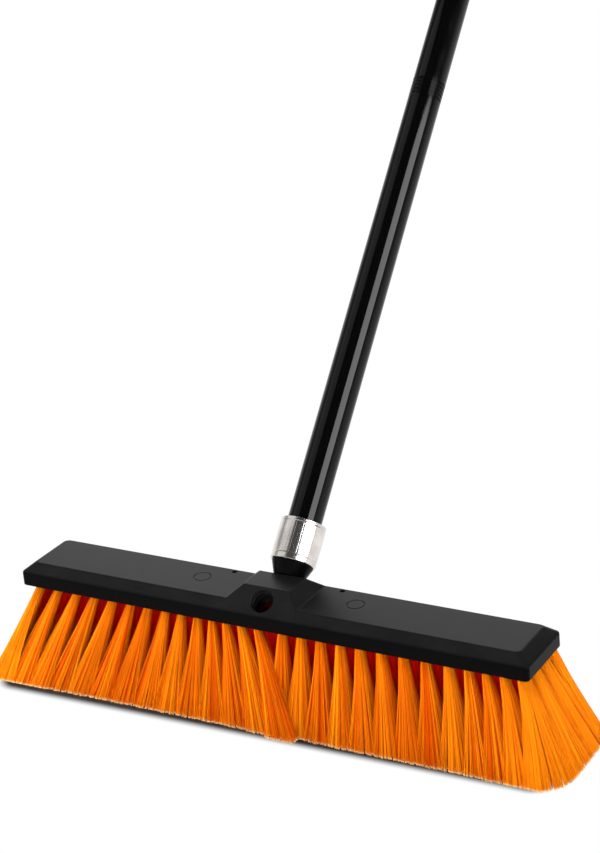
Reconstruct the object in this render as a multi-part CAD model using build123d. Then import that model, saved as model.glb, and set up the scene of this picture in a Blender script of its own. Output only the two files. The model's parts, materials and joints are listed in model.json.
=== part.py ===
from build123d import *
import math
import os

# Wide floor broom, in millimetres.
# +X runs along the block, +Y is the side that the handle leans to, +Z is up.
# The origin is on the floor, under the middle of the block, where the trimmed bristle tips stand.

# Block
block_length = 457.0
block_depth = 62.0
block_side_height = 12.0
block_bevel_rise = 7.0
end_bevel_run = 9.6
block_corner_radius = 5.0
block_top_corner_radius = 3.0
block_edge_round = 0.9
pocket_rim = 3.0

# Boss and handle sockets: the boss slants are square to the sockets' axes
handle_lean = 42.0
boss_base_width = 64.0
boss_top_width = 42.0
boss_rise = 9.5
boss_edge_round = 1.2
boss_sink = 2.0
socket_height = 21.0
socket_diameter = 19.1
socket_depth = 15.0

# Holes for the screws of a handle brace, and round moulding marks, on the block's top
brace_hole_spacing = 99.0
brace_hole_diameter = 4.0
brace_hole_depth = 10.0
brace_hole_back = 19.5
mark_spacing = 140.0
mark_diameter = 15.0
mark_line_width = 0.9
mark_line_depth = 0.5
mark_back = 3.0

# Bristles: tufts in rows, in two fans that meet beside the middle
bristle_trim = 76.0
floor_cut = 0.5
tuft_pitch = 16.6
tuft_end_margin = 5.5
row_pitch = 14.7
row_edge_margin = 8.5
fan_split = 6.2
fan_gap = 21.7
fan_meeting = 24.0
end_flare = 34.0
front_flare = 28.5
corner_round_off = 18.0
strand_root_side = 3.0
strand_tip_side = 3.6
strand_root_spread = 2.0
slice_thickness = 2.5
slice_fit = 0.1
anchor_length = 6.4
anchor_thickness = 0.6
anchor_height = 1.5
anchor_fit = 0.05

# Handle: threaded tip, collar, four tube sections and their screwed couplings
tube_diameter = 28.0
tube_wall = 0.6
tube_lengths = [415.0, 395.0, 304.0, 342.0]
tip_seat_gap = 0.3
tip_end_gap = 1.0
neck_length = 12.0
neck_root_diameter = 25.0
neck_top_diameter = 34.0
tip_spigot_length = 28.0
collar_diameter = 37.0
collar_length = 34.5
collar_top_rim = 3.0
collar_bottom_rim = 5.0
collar_rib_count = 72
collar_rib_depth = 0.5
collar_rim_chamfer = 0.8
joint_band_lengths = [16.0, 46.0, 16.0]
groove_count = 5
groove_pitch = 3.0
groove_radius = 0.75
groove_first = 2.0
nut_plug_length = 34.0
joint_thread_diameter = 16.0
joint_thread_length = 24.0
joint_thread_end_gap = 2.0
stud_spigot_length = 30.0

# Soft grip and end cap
grip_diameter = 39.2
grip_length = 167.0
grip_section = 3
grip_start = 28.0
grip_end_round = 5.0
cap_diameter = 31.0
cap_rim_diameter = 34.4
cap_rim_length = 6.0
cap_rim_slope = 4.0
cap_length = 106.0
cap_end_wall = 4.0
cap_dome_round = 11.0

# Fits: radial play of a turning fit, play of a fixed fit, and the gap under a turning end
turning_fit = 0.05
fixed_fit = 0.03
turning_gap = 0.05

# Worked-out places
lean = math.radians(handle_lean)
underside = bristle_trim
hip = underside + block_side_height
block_top = hip + block_bevel_rise
boss_top = block_top + boss_rise
slant_run = 1.0 / math.tan(lean)
side_bevel_run = block_bevel_rise * slant_run
mouth_y = block_depth / 2 - (socket_height - block_side_height) * slant_run
mouth_z = underside + socket_height
handle_plane = Plane(
    origin=(0, mouth_y, mouth_z), x_dir=(1, 0, 0), z_dir=(0, math.sin(lean), math.cos(lean))
)
front_socket_plane = Plane(
    origin=(0, -mouth_y, mouth_z), x_dir=(1, 0, 0), z_dir=(0, -math.sin(lean), math.cos(lean))
)
socket_radius = socket_diameter / 2
tube_radius = tube_diameter / 2
tube_bore_radius = tube_radius - tube_wall
mouth_overrun = 5.0
least_pocket_corner = 1.0
level_tolerance = 0.01


def turned(*profile):
    """A solid of revolution about +Z from points (radius, height)."""
    outline = Plane.XZ * make_face(Polyline(*profile, close=True))
    return revolve(outline, Axis.Z)


def ring(inner, outer, low, high):
    """A plain tube about +Z between two heights."""
    return turned((inner, low), (outer, low), (outer, high), (inner, high))


def level_edges(solid, height):
    """The edges of a solid that lie flat at one height."""
    flat = []
    for edge in solid.edges():
        box = edge.bounding_box()
        if abs(box.min.Z - height) < level_tolerance and abs(box.max.Z - height) < level_tolerance:
            flat.append(edge)
    return flat


def socket_space(plane):
    """The round space of one handle socket, run out past its mouth."""
    length = socket_depth + mouth_overrun
    return plane * Pos(0, 0, mouth_overrun - length / 2) * Cylinder(socket_radius, length)


def slice_outline(inset):
    """The pocket's outline in the block's underside, drawn in by an inset."""
    length = block_length - 2 * (pocket_rim + inset)
    depth = block_depth - 2 * (pocket_rim + inset)
    corner = max(block_corner_radius - pocket_rim, least_pocket_corner)
    return RectangleRounded(length, depth, corner)


def build_block_shell():
    """Upright sides and the bevel all round the top, with softened edges."""
    foot = RectangleRounded(block_length, block_depth, block_corner_radius)
    top_length = block_length - 2 * end_bevel_run
    top_depth = block_depth - 2 * side_bevel_run
    top = RectangleRounded(top_length, top_depth, block_top_corner_radius)
    sides = extrude(Pos(0, 0, underside) * foot, block_side_height)
    bevel = loft([Pos(0, 0, hip) * foot, Pos(0, 0, block_top) * top], ruled=True)
    shell = sides + bevel
    shell = fillet(level_edges(shell, block_top), block_edge_round)
    return fillet(level_edges(shell, hip), block_edge_round)


def build_boss():
    """The raised middle: its slants carry on the bevels, and its ends slope too."""
    low = block_top - boss_sink
    low_half_depth = block_depth / 2 - (low - hip) * slant_run
    top_half_depth = block_depth / 2 - (boss_top - hip) * slant_run
    end_slope = (boss_base_width - boss_top_width) / 2 / boss_rise
    low_half_width = boss_base_width / 2 + boss_sink * end_slope
    top_half_width = boss_top_width / 2
    across = Polyline(
        (-low_half_depth, low), (low_half_depth, low), (top_half_depth, boss_top), (-top_half_depth, boss_top),
        close=True,
    )
    along = Polyline(
        (-low_half_width, low), (low_half_width, low), (top_half_width, boss_top), (-top_half_width, boss_top),
        close=True,
    )
    ridge = extrude(Plane.YZ * make_face(across), low_half_width, both=True)
    wedge = extrude(Plane.XZ * make_face(along), low_half_depth, both=True)
    boss = ridge & wedge
    return fillet(level_edges(boss, boss_top), boss_edge_round)


def build_block():
    """The moulded block with boss, sockets, screw holes, moulding marks and the pocket for the bristle slices."""
    block = build_block_shell() + build_boss()
    block -= extrude(Pos(0, 0, underside) * slice_outline(0), slice_thickness)
    block -= socket_space(handle_plane)
    block -= socket_space(front_socket_plane)
    for side in (-1, 1):
        hole_place = Pos(side * brace_hole_spacing / 2, brace_hole_back, block_top)
        block -= hole_place * Pos(0, 0, -brace_hole_depth / 2) * Cylinder(brace_hole_diameter / 2, brace_hole_depth)
        mark = Circle(mark_diameter / 2) - Circle(mark_diameter / 2 - mark_line_width)
        block -= extrude(Pos(side * mark_spacing / 2, mark_back, block_top) * mark, -mark_line_depth)
    return block


def tuft_columns(side):
    """Places along X of one fan's tufts, from the split outwards."""
    first = fan_split + side * fan_gap / 2
    reach = block_length / 2 - tuft_end_margin
    count = int((reach - side * first) // tuft_pitch) + 1
    return [first + side * index * tuft_pitch for index in range(count)]


def tuft_rows():
    """Places along Y of the rows of tufts, about the middle."""
    count = int((block_depth - 2 * row_edge_margin) // row_pitch) + 1
    return [(index - (count - 1) / 2) * row_pitch for index in range(count)]


def square_wire(x, y, z, side):
    """A level square about a point."""
    half = side / 2
    return Wire.make_polygon(
        [(x - half, y - half, z), (x + half, y - half, z), (x + half, y + half, z), (x - half, y + half, z)]
    )


def fan_tip(side, column_share, row_share):
    """Where a strand meets the floor, from its shares of the fan's reach and depth.

    The column share runs from 0 at the meeting of the fans to 1 at the block's end, and the row share from -1 to 1.
    """
    reach = block_length / 2 + end_flare - side * fan_meeting
    pulled_in = corner_round_off * column_share**4 * row_share**2
    x = fan_meeting + side * (reach * column_share - pulled_in)
    y = row_share * (block_depth / 2 + front_flare)
    return x, y


def build_strand(root, tip):
    """One strand from a slice's face to the floor: it runs on below the floor and is cut flat there."""
    share = underside / (underside + floor_cut)
    floor_x = root[0] + share * (tip[0] - root[0])
    floor_y = root[1] + share * (tip[1] - root[1])
    top = square_wire(root[0], root[1], underside, strand_root_side)
    foot = square_wire(floor_x, floor_y, 0, strand_tip_side)
    return Solid.make_loft([top, foot], True)


def build_strands(side):
    """Four slanting strands for each tuft of one fan, spread from their roots without crossing."""
    columns = tuft_columns(side)
    rows = tuft_rows()
    strands = []
    for column_index, column in enumerate(columns):
        for row_index, row in enumerate(rows):
            for across in (-1, 1):
                for along in (-1, 1):
                    column_share = (column_index + 0.5 + 0.25 * across) / len(columns)
                    row_share = 2 * (row_index + 0.5 + 0.25 * along) / len(rows) - 1
                    root = (column + side * across * strand_root_spread, row + along * strand_root_spread)
                    strands.append(build_strand(root, fan_tip(side, column_share, row_share)))
    return strands


def anchor_box(column, row, fit=0.0):
    """One flat wire anchor, flush with the top of the slice, or its slot."""
    height = anchor_height + fit
    place = Pos(column, row, underside + slice_thickness - height / 2)
    return place * Box(anchor_length + 2 * fit, anchor_thickness + 2 * fit, height)


def build_slice(side):
    """One fan's slice of the block's underside, with anchor slots and room for the sockets."""
    whole = extrude(Pos(0, 0, underside) * slice_outline(slice_fit), slice_thickness)
    half = Pos(fan_split + side * (block_length / 2 + slice_fit), 0, underside + slice_thickness / 2)
    backing = whole & (half * Box(block_length, block_depth, slice_thickness))
    backing -= socket_space(handle_plane)
    backing -= socket_space(front_socket_plane)
    slots = [anchor_box(column, row, anchor_fit) for column in tuft_columns(side) for row in tuft_rows()]
    return backing - slots


def build_bristles(side):
    """One fan of strands, joined to the face of its slice."""
    return build_slice(side).solid().fuse(*build_strands(side), glue=True)


def build_anchors(side):
    """The flat wire anchors of one fan, each a separate solid."""
    anchors = [anchor_box(column, row).solid() for column in tuft_columns(side) for row in tuft_rows()]
    return Compound(children=anchors)


def build_tip():
    """Threaded tip: plain thread cylinder, cone neck and the spigot inside the lowest tube."""
    thread_radius = socket_radius - turning_fit
    spigot_radius = tube_bore_radius - turning_fit
    return turned(
        (0, tip_end_gap - socket_depth),
        (thread_radius, tip_end_gap - socket_depth),
        (thread_radius, tip_seat_gap),
        (neck_root_diameter / 2, tip_seat_gap),
        (neck_top_diameter / 2, neck_length),
        (spigot_radius, neck_length),
        (spigot_radius, neck_length + tip_spigot_length),
        (0, neck_length + tip_spigot_length),
    )


def ribbed_outline(radius, depth, count):
    """A round outline cut all round by V grooves."""
    points = []
    for step in range(2 * count):
        turn = math.pi * step / count
        reach = radius - depth * (step % 2)
        points.append((reach * math.cos(turn), reach * math.sin(turn)))
    return make_face(Polyline(*points, close=True))


def build_collar():
    """Ribbed metal collar with smooth rims, on the foot of the lowest tube."""
    low = neck_length + turning_gap
    high = low + collar_length
    bore = tube_radius + fixed_fit
    rim = collar_diameter / 2
    body = turned(
        (bore, low),
        (rim - collar_rim_chamfer, low),
        (rim, low + collar_rim_chamfer),
        (rim, high - collar_rim_chamfer),
        (rim - collar_rim_chamfer, high),
        (bore, high),
    )
    ribbed_length = collar_length - collar_top_rim - collar_bottom_rim
    ribbed_place = Pos(0, 0, low + collar_bottom_rim)
    blank = extrude(ribbed_place * Circle(collar_diameter), ribbed_length)
    ribs = extrude(ribbed_place * ribbed_outline(rim, collar_rib_depth, collar_rib_count), ribbed_length)
    return body - (blank - ribs)


def section_starts():
    """Heights along the handle of each tube's lower end and each coupling band's lower end."""
    tube_low = []
    band_low = []
    height = neck_length + turning_gap
    for index, length in enumerate(tube_lengths):
        tube_low.append(height)
        height += length
        if index < len(joint_band_lengths):
            band_low.append(height)
            height += joint_band_lengths[index] + turning_gap
    return tube_low, band_low


def groove_heights(band_length):
    """Heights of the grooves in one coupling band: one set, or one at each end of a long band."""
    set_length = groove_first + (groove_count - 1) * groove_pitch
    near = [groove_first + index * groove_pitch for index in range(groove_count)]
    if band_length < 2 * set_length:
        return near
    return near + [band_length - height for height in near]


def build_nut(low, band_length):
    """Female coupling: a grooved band as wide as the tube, and a bored plug inside the tube below it."""
    plug_radius = tube_bore_radius - fixed_fit
    bore_radius = joint_thread_diameter / 2 + turning_fit
    high = low + band_length
    bore_low = high - joint_thread_length - joint_thread_end_gap
    plug_low = min(low, bore_low) - nut_plug_length
    nut = turned(
        (0, plug_low),
        (plug_radius, plug_low),
        (plug_radius, low),
        (tube_radius, low),
        (tube_radius, high),
        (bore_radius, high),
        (bore_radius, bore_low),
        (0, bore_low),
    )
    grooves = [
        Pos(0, 0, low + height) * Torus(tube_radius, groove_radius) for height in groove_heights(band_length)
    ]
    return nut - grooves


def build_stud(low):
    """Male coupling: a plain thread cylinder, and a spigot inside the tube above it."""
    thread_radius = joint_thread_diameter / 2
    spigot_radius = tube_bore_radius - turning_fit
    return turned(
        (0, low - joint_thread_length),
        (thread_radius, low - joint_thread_length),
        (thread_radius, low),
        (spigot_radius, low),
        (spigot_radius, low + stud_spigot_length),
        (0, low + stud_spigot_length),
    )


def build_grip(tube_low):
    """Soft grip sleeve with rounded ends."""
    low = tube_low + grip_start
    bore = tube_radius + fixed_fit
    outside = grip_diameter / 2
    sleeve = ring(bore, outside, low, low + grip_length)
    middle = (bore + outside) / 2
    rims = [edge for edge in sleeve.edges().filter_by(GeomType.CIRCLE) if edge.radius > middle]
    return fillet(rims, grip_end_round)


def build_cap(tube_high):
    """Closed end cap with a thick rim at its mouth and a rounded end."""
    high = tube_high + cap_end_wall
    low = high - cap_length
    bore = tube_radius + fixed_fit
    cap = turned(
        (bore, low),
        (cap_rim_diameter / 2, low),
        (cap_rim_diameter / 2, low + cap_rim_length),
        (cap_diameter / 2, low + cap_rim_length + cap_rim_slope),
        (cap_diameter / 2, high),
        (0, high),
        (0, tube_high),
        (bore, tube_high),
    )
    return fillet(level_edges(cap, high), cap_dome_round)


def build_handle():
    """Every handle piece by name, along its own axis from the socket's mouth."""
    tube_low, band_low = section_starts()
    pieces = {"threaded_tip": build_tip(), "knurled_collar": build_collar()}
    for index, length in enumerate(tube_lengths):
        low = tube_low[index]
        pieces[f"tube_{index + 1}"] = ring(tube_bore_radius, tube_radius, low, low + length)
    for index, band_length in enumerate(joint_band_lengths):
        pieces[f"joint_nut_{index + 1}"] = build_nut(band_low[index], band_length)
        pieces[f"joint_stud_{index + 1}"] = build_stud(tube_low[index + 1])
    pieces["foam_grip"] = build_grip(tube_low[grip_section - 1])
    pieces["end_cap"] = build_cap(tube_low[-1] + tube_lengths[-1])
    return pieces


def build_broom():
    """Every node of the broom, in the broom's frame."""
    nodes = {
        "broom_block": build_block(),
        "bristles_left": build_bristles(-1),
        "bristles_right": build_bristles(1),
        "tuft_anchors_left": build_anchors(-1),
        "tuft_anchors_right": build_anchors(1),
    }
    for name, piece in build_handle().items():
        nodes[name] = handle_plane * piece
    return nodes


os.makedirs("parts", exist_ok=True)
for node_name, node_shape in build_broom().items():
    export_step(node_shape, f"parts/{node_name}.step")
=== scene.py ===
"""Looks of a wide floor broom, built in metres round its packed construction.

The moulded block, the fans of bristles and every handle piece are meshes in the construction's own frame.
Each has a procedural finish, and the broom stands on a pale floor under soft studio light.
"""
import json
import logging
import math
from abc import ABC, abstractmethod
from dataclasses import dataclass
from enum import Enum
from typing import Any, NamedTuple, Optional, Sequence, Union

import bmesh
import bpy
import numpy as np
from mathutils import Matrix, Vector


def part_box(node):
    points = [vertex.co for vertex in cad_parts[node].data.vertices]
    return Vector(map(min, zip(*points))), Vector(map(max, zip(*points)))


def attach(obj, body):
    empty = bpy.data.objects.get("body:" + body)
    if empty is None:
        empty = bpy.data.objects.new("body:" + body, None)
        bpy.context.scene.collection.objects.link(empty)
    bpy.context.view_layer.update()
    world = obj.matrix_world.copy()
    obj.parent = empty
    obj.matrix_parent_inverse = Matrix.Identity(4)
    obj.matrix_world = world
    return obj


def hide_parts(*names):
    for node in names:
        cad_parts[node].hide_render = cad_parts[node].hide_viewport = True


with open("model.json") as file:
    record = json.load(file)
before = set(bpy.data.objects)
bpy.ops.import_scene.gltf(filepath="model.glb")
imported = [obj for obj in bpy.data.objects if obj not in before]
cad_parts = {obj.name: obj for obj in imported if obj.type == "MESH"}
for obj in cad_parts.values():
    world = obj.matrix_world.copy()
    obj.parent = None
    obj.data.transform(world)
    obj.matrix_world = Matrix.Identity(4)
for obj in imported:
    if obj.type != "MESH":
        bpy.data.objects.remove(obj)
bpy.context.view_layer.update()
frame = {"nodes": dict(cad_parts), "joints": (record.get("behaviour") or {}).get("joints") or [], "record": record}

LOG = logging.getLogger("broom")
MM = 0.001
FULL_TURN = 2 * math.pi
GOLDEN_TURN = math.pi * (3 - math.sqrt(5))
MERGE_GAP = 1e-7
SHARP_ANGLE = math.radians(38)
AROUND = 96  # steps in a full turn of a turned piece
CORNER_ROOM = 0.49  # share of an outline's side that one rounded corner may take
# the painted root shade of the bristles comes in these even steps
PAINTED_SHADE_LEVELS = 4  # steps from a filament on the outside of a fan to one deep inside
BAKE_MARGIN = 0.01  # clear edge of the UV map that lays out the filaments' tones and places
NOISE_MIDDLE = 0.5  # the value that noise varies about
WHITE = (1.0, 1.0, 1.0)

Colour = tuple[float, float, float]
Place = tuple[float, float, float]
Levels = tuple[float, float]
Outline = np.ndarray
Value = Union[float, Sequence[float], "Signal"]


class Signal:
    """A value that varies over a surface; arithmetic on it adds Math nodes to its board."""

    def __init__(self, board: "ShaderBoard", socket: bpy.types.NodeSocket) -> None:
        """Wraps one output socket of a board's tree."""
        self.board = board
        self.socket = socket

    def combine(self, operation: str, first: Value, second: Value) -> "Signal":
        """Adds one Math node.

        Args:
            operation: The Math node's operation.
            first: Its first number or signal.
            second: Its second number or signal.

        Returns:
            The node's result.
        """
        return self.board.node("ShaderNodeMath", {"operation": operation}, {0: first, 1: second})

    def __add__(self, other: Value) -> "Signal":
        """The sum."""
        return self.combine("ADD", self, other)

    def __radd__(self, other: Value) -> "Signal":
        """The sum, with a number first."""
        return self.combine("ADD", other, self)

    def __sub__(self, other: Value) -> "Signal":
        """The difference."""
        return self.combine("SUBTRACT", self, other)

    def __rsub__(self, other: Value) -> "Signal":
        """The difference, with a number first."""
        return self.combine("SUBTRACT", other, self)

    def __mul__(self, other: Value) -> "Signal":
        """The product."""
        return self.combine("MULTIPLY", self, other)

    def __rmul__(self, other: Value) -> "Signal":
        """The product, with a number first."""
        return self.combine("MULTIPLY", other, self)


class ShaderBoard:
    """The node tree of one material or of the world, built one node at a time."""

    def __init__(self, tree: bpy.types.NodeTree) -> None:
        """Starts on an existing tree."""
        self.tree = tree

    def feed(self, socket: bpy.types.NodeSocket, value: Value) -> None:
        """Links a signal to an input socket, or sets the socket's own value.

        Args:
            socket: The input socket.
            value: A signal, a number, a vector or a colour.
        """
        if isinstance(value, Signal):
            self.tree.links.new(value.socket, socket)
        elif socket.type == "RGBA":
            socket.default_value = (*value[:3], 1.0)
        else:
            socket.default_value = value

    def node(
        self,
        kind: str,
        settings: Optional[dict[str, Any]] = None,
        sockets: Optional[dict[Union[int, str], Value]] = None,
        output: Union[int, str] = 0,
    ) -> Signal:
        """Adds one node.

        Args:
            kind: The node's type.
            settings: Its own properties, with a ramp's stops as (place, colour) pairs.
            sockets: Values or signals for its input sockets.
            output: The output socket to go on from.

        Returns:
            That output.
        """
        made = self.tree.nodes.new(kind)
        for name, value in (settings or {}).items():
            if name == "stops":
                self.set_stops(made.color_ramp, value)
            else:
                setattr(made, name, value)
        for key, value in (sockets or {}).items():
            self.feed(made.inputs[key], value)
        return Signal(self, made.outputs[output])

    @staticmethod
    def set_stops(ramp: bpy.types.ColorRamp, stops: Sequence[tuple[float, Colour]]) -> None:
        """Sets a colour ramp's stops.

        Args:
            ramp: The ramp.
            stops: Places and colours, in order.
        """
        while len(ramp.elements) < len(stops):
            ramp.elements.new(1.0)
        for element, (place, colour) in zip(ramp.elements, stops):
            element.position = place
            element.color = (*colour, 1.0)

    def first(self, kind: str) -> bpy.types.Node:
        """The tree's first node of a type."""
        return next(node for node in self.tree.nodes if node.type == kind)

    def surface(self, sockets: dict[str, Value]) -> None:
        """Feeds the material's Principled shader.

        Args:
            sockets: Values or signals for its input sockets.
        """
        shader = self.first("BSDF_PRINCIPLED")
        for name, value in sockets.items():
            self.feed(shader.inputs[name], value)

    def cover(self, share: Value, shader: Signal) -> None:
        """Mixes another shader into the material's Principled one.

        Args:
            share: How much of the other shader there is.
            shader: The other shader.
        """
        plain = Signal(self, self.first("BSDF_PRINCIPLED").outputs[0])
        mixed = self.node("ShaderNodeMixShader", {}, {0: share, 1: plain, 2: shader})
        self.feed(self.first("OUTPUT_MATERIAL").inputs["Surface"], mixed)

    def vector(self, operation: str, *values: Value, output: Union[int, str] = 0) -> Signal:
        """Adds one Vector Math node.

        Args:
            operation: The node's operation.
            values: Its vectors or signals, in order.
            output: The output socket to go on from.

        Returns:
            That output.
        """
        return self.node("ShaderNodeVectorMath", {"operation": operation}, dict(enumerate(values)), output)

    def spot(self, stretch: Place = (1.0, 1.0, 1.0)) -> Signal:
        """The piece's own coordinates in metres, stretched by factors along X, Y and Z."""
        return self.vector("MULTIPLY", self.node("ShaderNodeTexCoord", output="Object"), stretch)

    def height(self, place: Signal) -> Signal:
        """The Z of a place or of a direction."""
        return self.node("ShaderNodeSeparateXYZ", {}, {0: place}, "Z")

    def noise(self, place: Signal, scale: float, detail: float) -> Signal:
        """Soft noise from 0 to 1.

        Args:
            place: The coordinates.
            scale: Lumps in a metre.
            detail: How many finer layers it has.

        Returns:
            The noise.
        """
        return self.node("ShaderNodeTexNoise", {}, {"Vector": place, "Scale": scale, "Detail": detail})

    def cells(self, place: Signal, scale: float) -> Signal:
        """Distance to the middle of the nearest of many irregular cells.

        Args:
            place: The coordinates.
            scale: Cells in a metre.

        Returns:
            The distance.
        """
        return self.node("ShaderNodeTexVoronoi", {}, {"Vector": place, "Scale": scale})

    def attribute(self, name: str) -> Signal:
        """A number stored on the mesh."""
        return self.node("ShaderNodeAttribute", {"attribute_name": name}, output="Fac")

    def between(self, value: Value, low: float, high: float) -> Signal:
        """How far a value has come from one level to another, eased, from 0 to 1.

        Args:
            value: The value.
            low: Where the result is 0.
            high: Where the result is 1.

        Returns:
            The eased share.
        """
        settings = {"interpolation_type": "SMOOTHSTEP"}
        return self.node("ShaderNodeMapRange", settings, {"Value": value, "From Min": low, "From Max": high})

    def blend(self, share: Value, first: Value, second: Value) -> Signal:
        """Mixes two colours.

        Args:
            share: How much of the second there is.
            first: The first colour.
            second: The second colour.

        Returns:
            The mixed colour.
        """
        return self.node("ShaderNodeMix", {"data_type": "RGBA"}, {0: share, 6: first, 7: second}, 2)

    def bump(self, height: Signal, depth: float) -> Signal:
        """Relief from a height.

        Args:
            height: The height, from 0 to 1.
            depth: What a height of 1 is in metres.

        Returns:
            The normal.
        """
        return self.node("ShaderNodeBump", {}, {"Height": height, "Distance": depth})


@dataclass(frozen=True)
class Finish(ABC):
    """One surface finish, and the record's slot that it belongs to."""

    name: str
    slot: str

    @abstractmethod
    def paint(self, board: ShaderBoard) -> None:
        """Adds the finish's nodes to a material's board."""

    def material(self) -> bpy.types.Material:
        """Makes the finish's material the first time that it is asked for.

        Returns:
            The material.
        """
        label = f"{self.name}_finish"
        made = bpy.data.materials.get(label)
        if made is None:
            made = bpy.data.materials.new(label)
            made.use_nodes = True
            self.paint(ShaderBoard(made.node_tree))
        return made


@dataclass(frozen=True)
class MouldedPlastic(Finish):
    """Black moulded plastic: a fine grain, a slow change of tone and sheen, and painted shade on the faces below a
    line.
    """

    base: Colour = (0.006, 0.006, 0.0064)
    rubbed: Colour = (0.01, 0.01, 0.0106)
    rubbed_levels: Levels = (0.3, 0.72)
    # painted shade: the darker colour of the faces below the line, where little light falls
    plain: Colour = (0.0009, 0.0009, 0.001)
    roughness: float = 0.34
    roughness_change: float = 0.08
    specular: float = 0.04
    cloud: float = 22.0
    grain: float = 1500.0
    grain_share: float = 0.3
    grain_depth: float = 0.000035
    painted_shade_below: float = -1.0
    painted_shade_edge: float = 1.5 * MM

    def paint(self, board: ShaderBoard) -> None:
        """Adds the grain, the tone, the sheen and the painted shade below the line.

        Args:
            board: The material's board.
        """
        spot = board.spot()
        cloud = board.noise(spot, self.cloud, detail=3.0)
        grain = board.noise(spot, self.grain, detail=1.0)
        mottle = cloud * (1 - self.grain_share) + grain * self.grain_share
        skin = board.blend(board.between(mottle, *self.rubbed_levels), self.base, self.rubbed)
        # painted shade: below the line the colour turns to the darker one
        low, high = self.painted_shade_below - self.painted_shade_edge, self.painted_shade_below + self.painted_shade_edge
        board.surface(
            {
                "Base Color": board.blend(board.between(board.height(spot), low, high), self.plain, skin),
                "Roughness": self.roughness + self.roughness_change * (cloud - NOISE_MIDDLE),
                "Specular IOR Level": self.specular,
                "Normal": board.bump(grain, self.grain_depth),
            }
        )


@dataclass(frozen=True)
class GlossPaint(Finish):
    """Gloss black paint on a tube: a faint peel, and thin dulled streaks along it."""

    base: Colour = (0.0006, 0.0006, 0.0007)
    streaked: Colour = (0.0018, 0.0018, 0.0021)
    roughness: float = 0.06
    dulled: float = 0.04
    dulled_levels: Levels = (0.45, 0.8)
    specular: float = 0.18
    peel: float = 260.0
    peel_depth: float = 0.000006
    streak: float = 420.0
    streak_stretch: Place = (1.0, 0.1, 0.1)

    def paint(self, board: ShaderBoard) -> None:
        """Adds the peel and the streaks.

        Args:
            board: The material's board.
        """
        peel = board.noise(board.spot(), self.peel, detail=1.0)
        streaks = board.noise(board.spot(self.streak_stretch), self.streak, detail=3.0)
        board.surface(
            {
                "Base Color": board.blend(streaks, self.base, self.streaked),
                "Roughness": self.roughness + self.dulled * board.between(streaks, *self.dulled_levels),
                "Specular IOR Level": self.specular,
                "Normal": board.bump(peel, self.peel_depth),
            }
        )


@dataclass(frozen=True)
class NickelPlate(Finish):
    """Bright nickel plate with fine drawn lines and a faint warm tint."""

    base: Colour = (0.83, 0.785, 0.75)
    shade: Colour = (0.66, 0.615, 0.58)
    shade_levels: Levels = (0.35, 0.75)
    roughness: float = 0.22
    roughness_change: float = 0.06
    cloud: float = 90.0
    line: float = 2600.0
    line_stretch: Place = (1.0, 0.06, 0.06)
    line_middle: float = 0.4
    line_depth: float = 0.000008

    def paint(self, board: ShaderBoard) -> None:
        """Adds the drawn lines and the tint.

        Args:
            board: The material's board.
        """
        lines = board.noise(board.spot(self.line_stretch), self.line, detail=2.0)
        cloud = board.noise(board.spot(), self.cloud, detail=2.0)
        board.surface(
            {
                "Base Color": board.blend(board.between(cloud, *self.shade_levels), self.base, self.shade),
                "Metallic": 1.0,
                "Roughness": self.roughness + self.roughness_change * (lines - self.line_middle),
                "Normal": board.bump(lines, self.line_depth),
            }
        )


@dataclass(frozen=True)
class BristleFilament(Finish):
    """Orange plastic filament: redder at the root with painted shade, pale at the cut tip, each strand of its own
    tone.
    """

    deep: Colour = (0.74, 0.075, 0.0)
    bright: Colour = (1.0, 0.3, 0.004)
    # painted shade: the dark red that strands deep in the fan take on towards the root, where the gaps between
    # tufts lie in shade
    root: Colour = (0.8, 0.006, 0.0)
    root_shade_levels: Levels = (0.8, 0.3)
    tip: Colour = (1.0, 0.66, 0.28)
    tip_levels: Levels = (0.975, 0.995)
    tip_share: float = 0.85
    through: Colour = (1.0, 0.4, 0.03)
    clearness: float = 0.14
    roughness: float = 0.45
    roughness_change: float = 0.12
    specular: float = 0.03

    def paint(self, board: ShaderBoard) -> None:
        """Mixes the tones from the strand's own number, the painted shade of how far inside it stands and the
        place along it.

        Args:
            board: The material's board.
        """
        tone = board.attribute("tone")
        along = board.attribute("along")
        # painted shade: strands inside the fan are reddened towards the root by their stored depth level
        painted_root_shade = board.attribute("inner") * board.between(along, *self.root_shade_levels)
        tone_with_root_shade = board.blend(painted_root_shade, board.blend(tone, self.deep, self.bright), self.root)
        tipward = self.tip_share * board.between(along, *self.tip_levels)
        board.surface(
            {
                "Base Color": board.blend(tipward, tone_with_root_shade, self.tip),
                "Roughness": self.roughness + self.roughness_change * tone,
                "Specular IOR Level": self.specular,
            }
        )
        board.cover(self.clearness, board.node("ShaderNodeBsdfTranslucent", {}, {"Color": self.through}))


@dataclass(frozen=True)
class GripFoam(Finish):
    """Dense soft foam: small open cells, and a cloudy change of tone."""

    base: Colour = (0.47, 0.043, 0.005)
    light: Colour = (0.55, 0.066, 0.009)
    light_levels: Levels = (0.25, 0.8)
    roughness: float = 0.78
    roughness_change: float = 0.14
    specular: float = 0.25
    cloud: float = 70.0
    cell: float = 1500.0
    cell_share: float = 0.2
    cell_depth: float = 0.000018

    def paint(self, board: ShaderBoard) -> None:
        """Adds the cells and the cloudy tone.

        Args:
            board: The material's board.
        """
        spot = board.spot()
        cells = board.cells(spot, self.cell)
        cloud = board.noise(spot, self.cloud, detail=3.0)
        mottle = cloud * (1 - self.cell_share) + cells * self.cell_share
        board.surface(
            {
                "Base Color": board.blend(board.between(mottle, *self.light_levels), self.base, self.light),
                "Roughness": self.roughness + self.roughness_change * cloud,
                "Specular IOR Level": self.specular,
                "Normal": board.bump(1 - cells, self.cell_depth),
            }
        )


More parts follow.
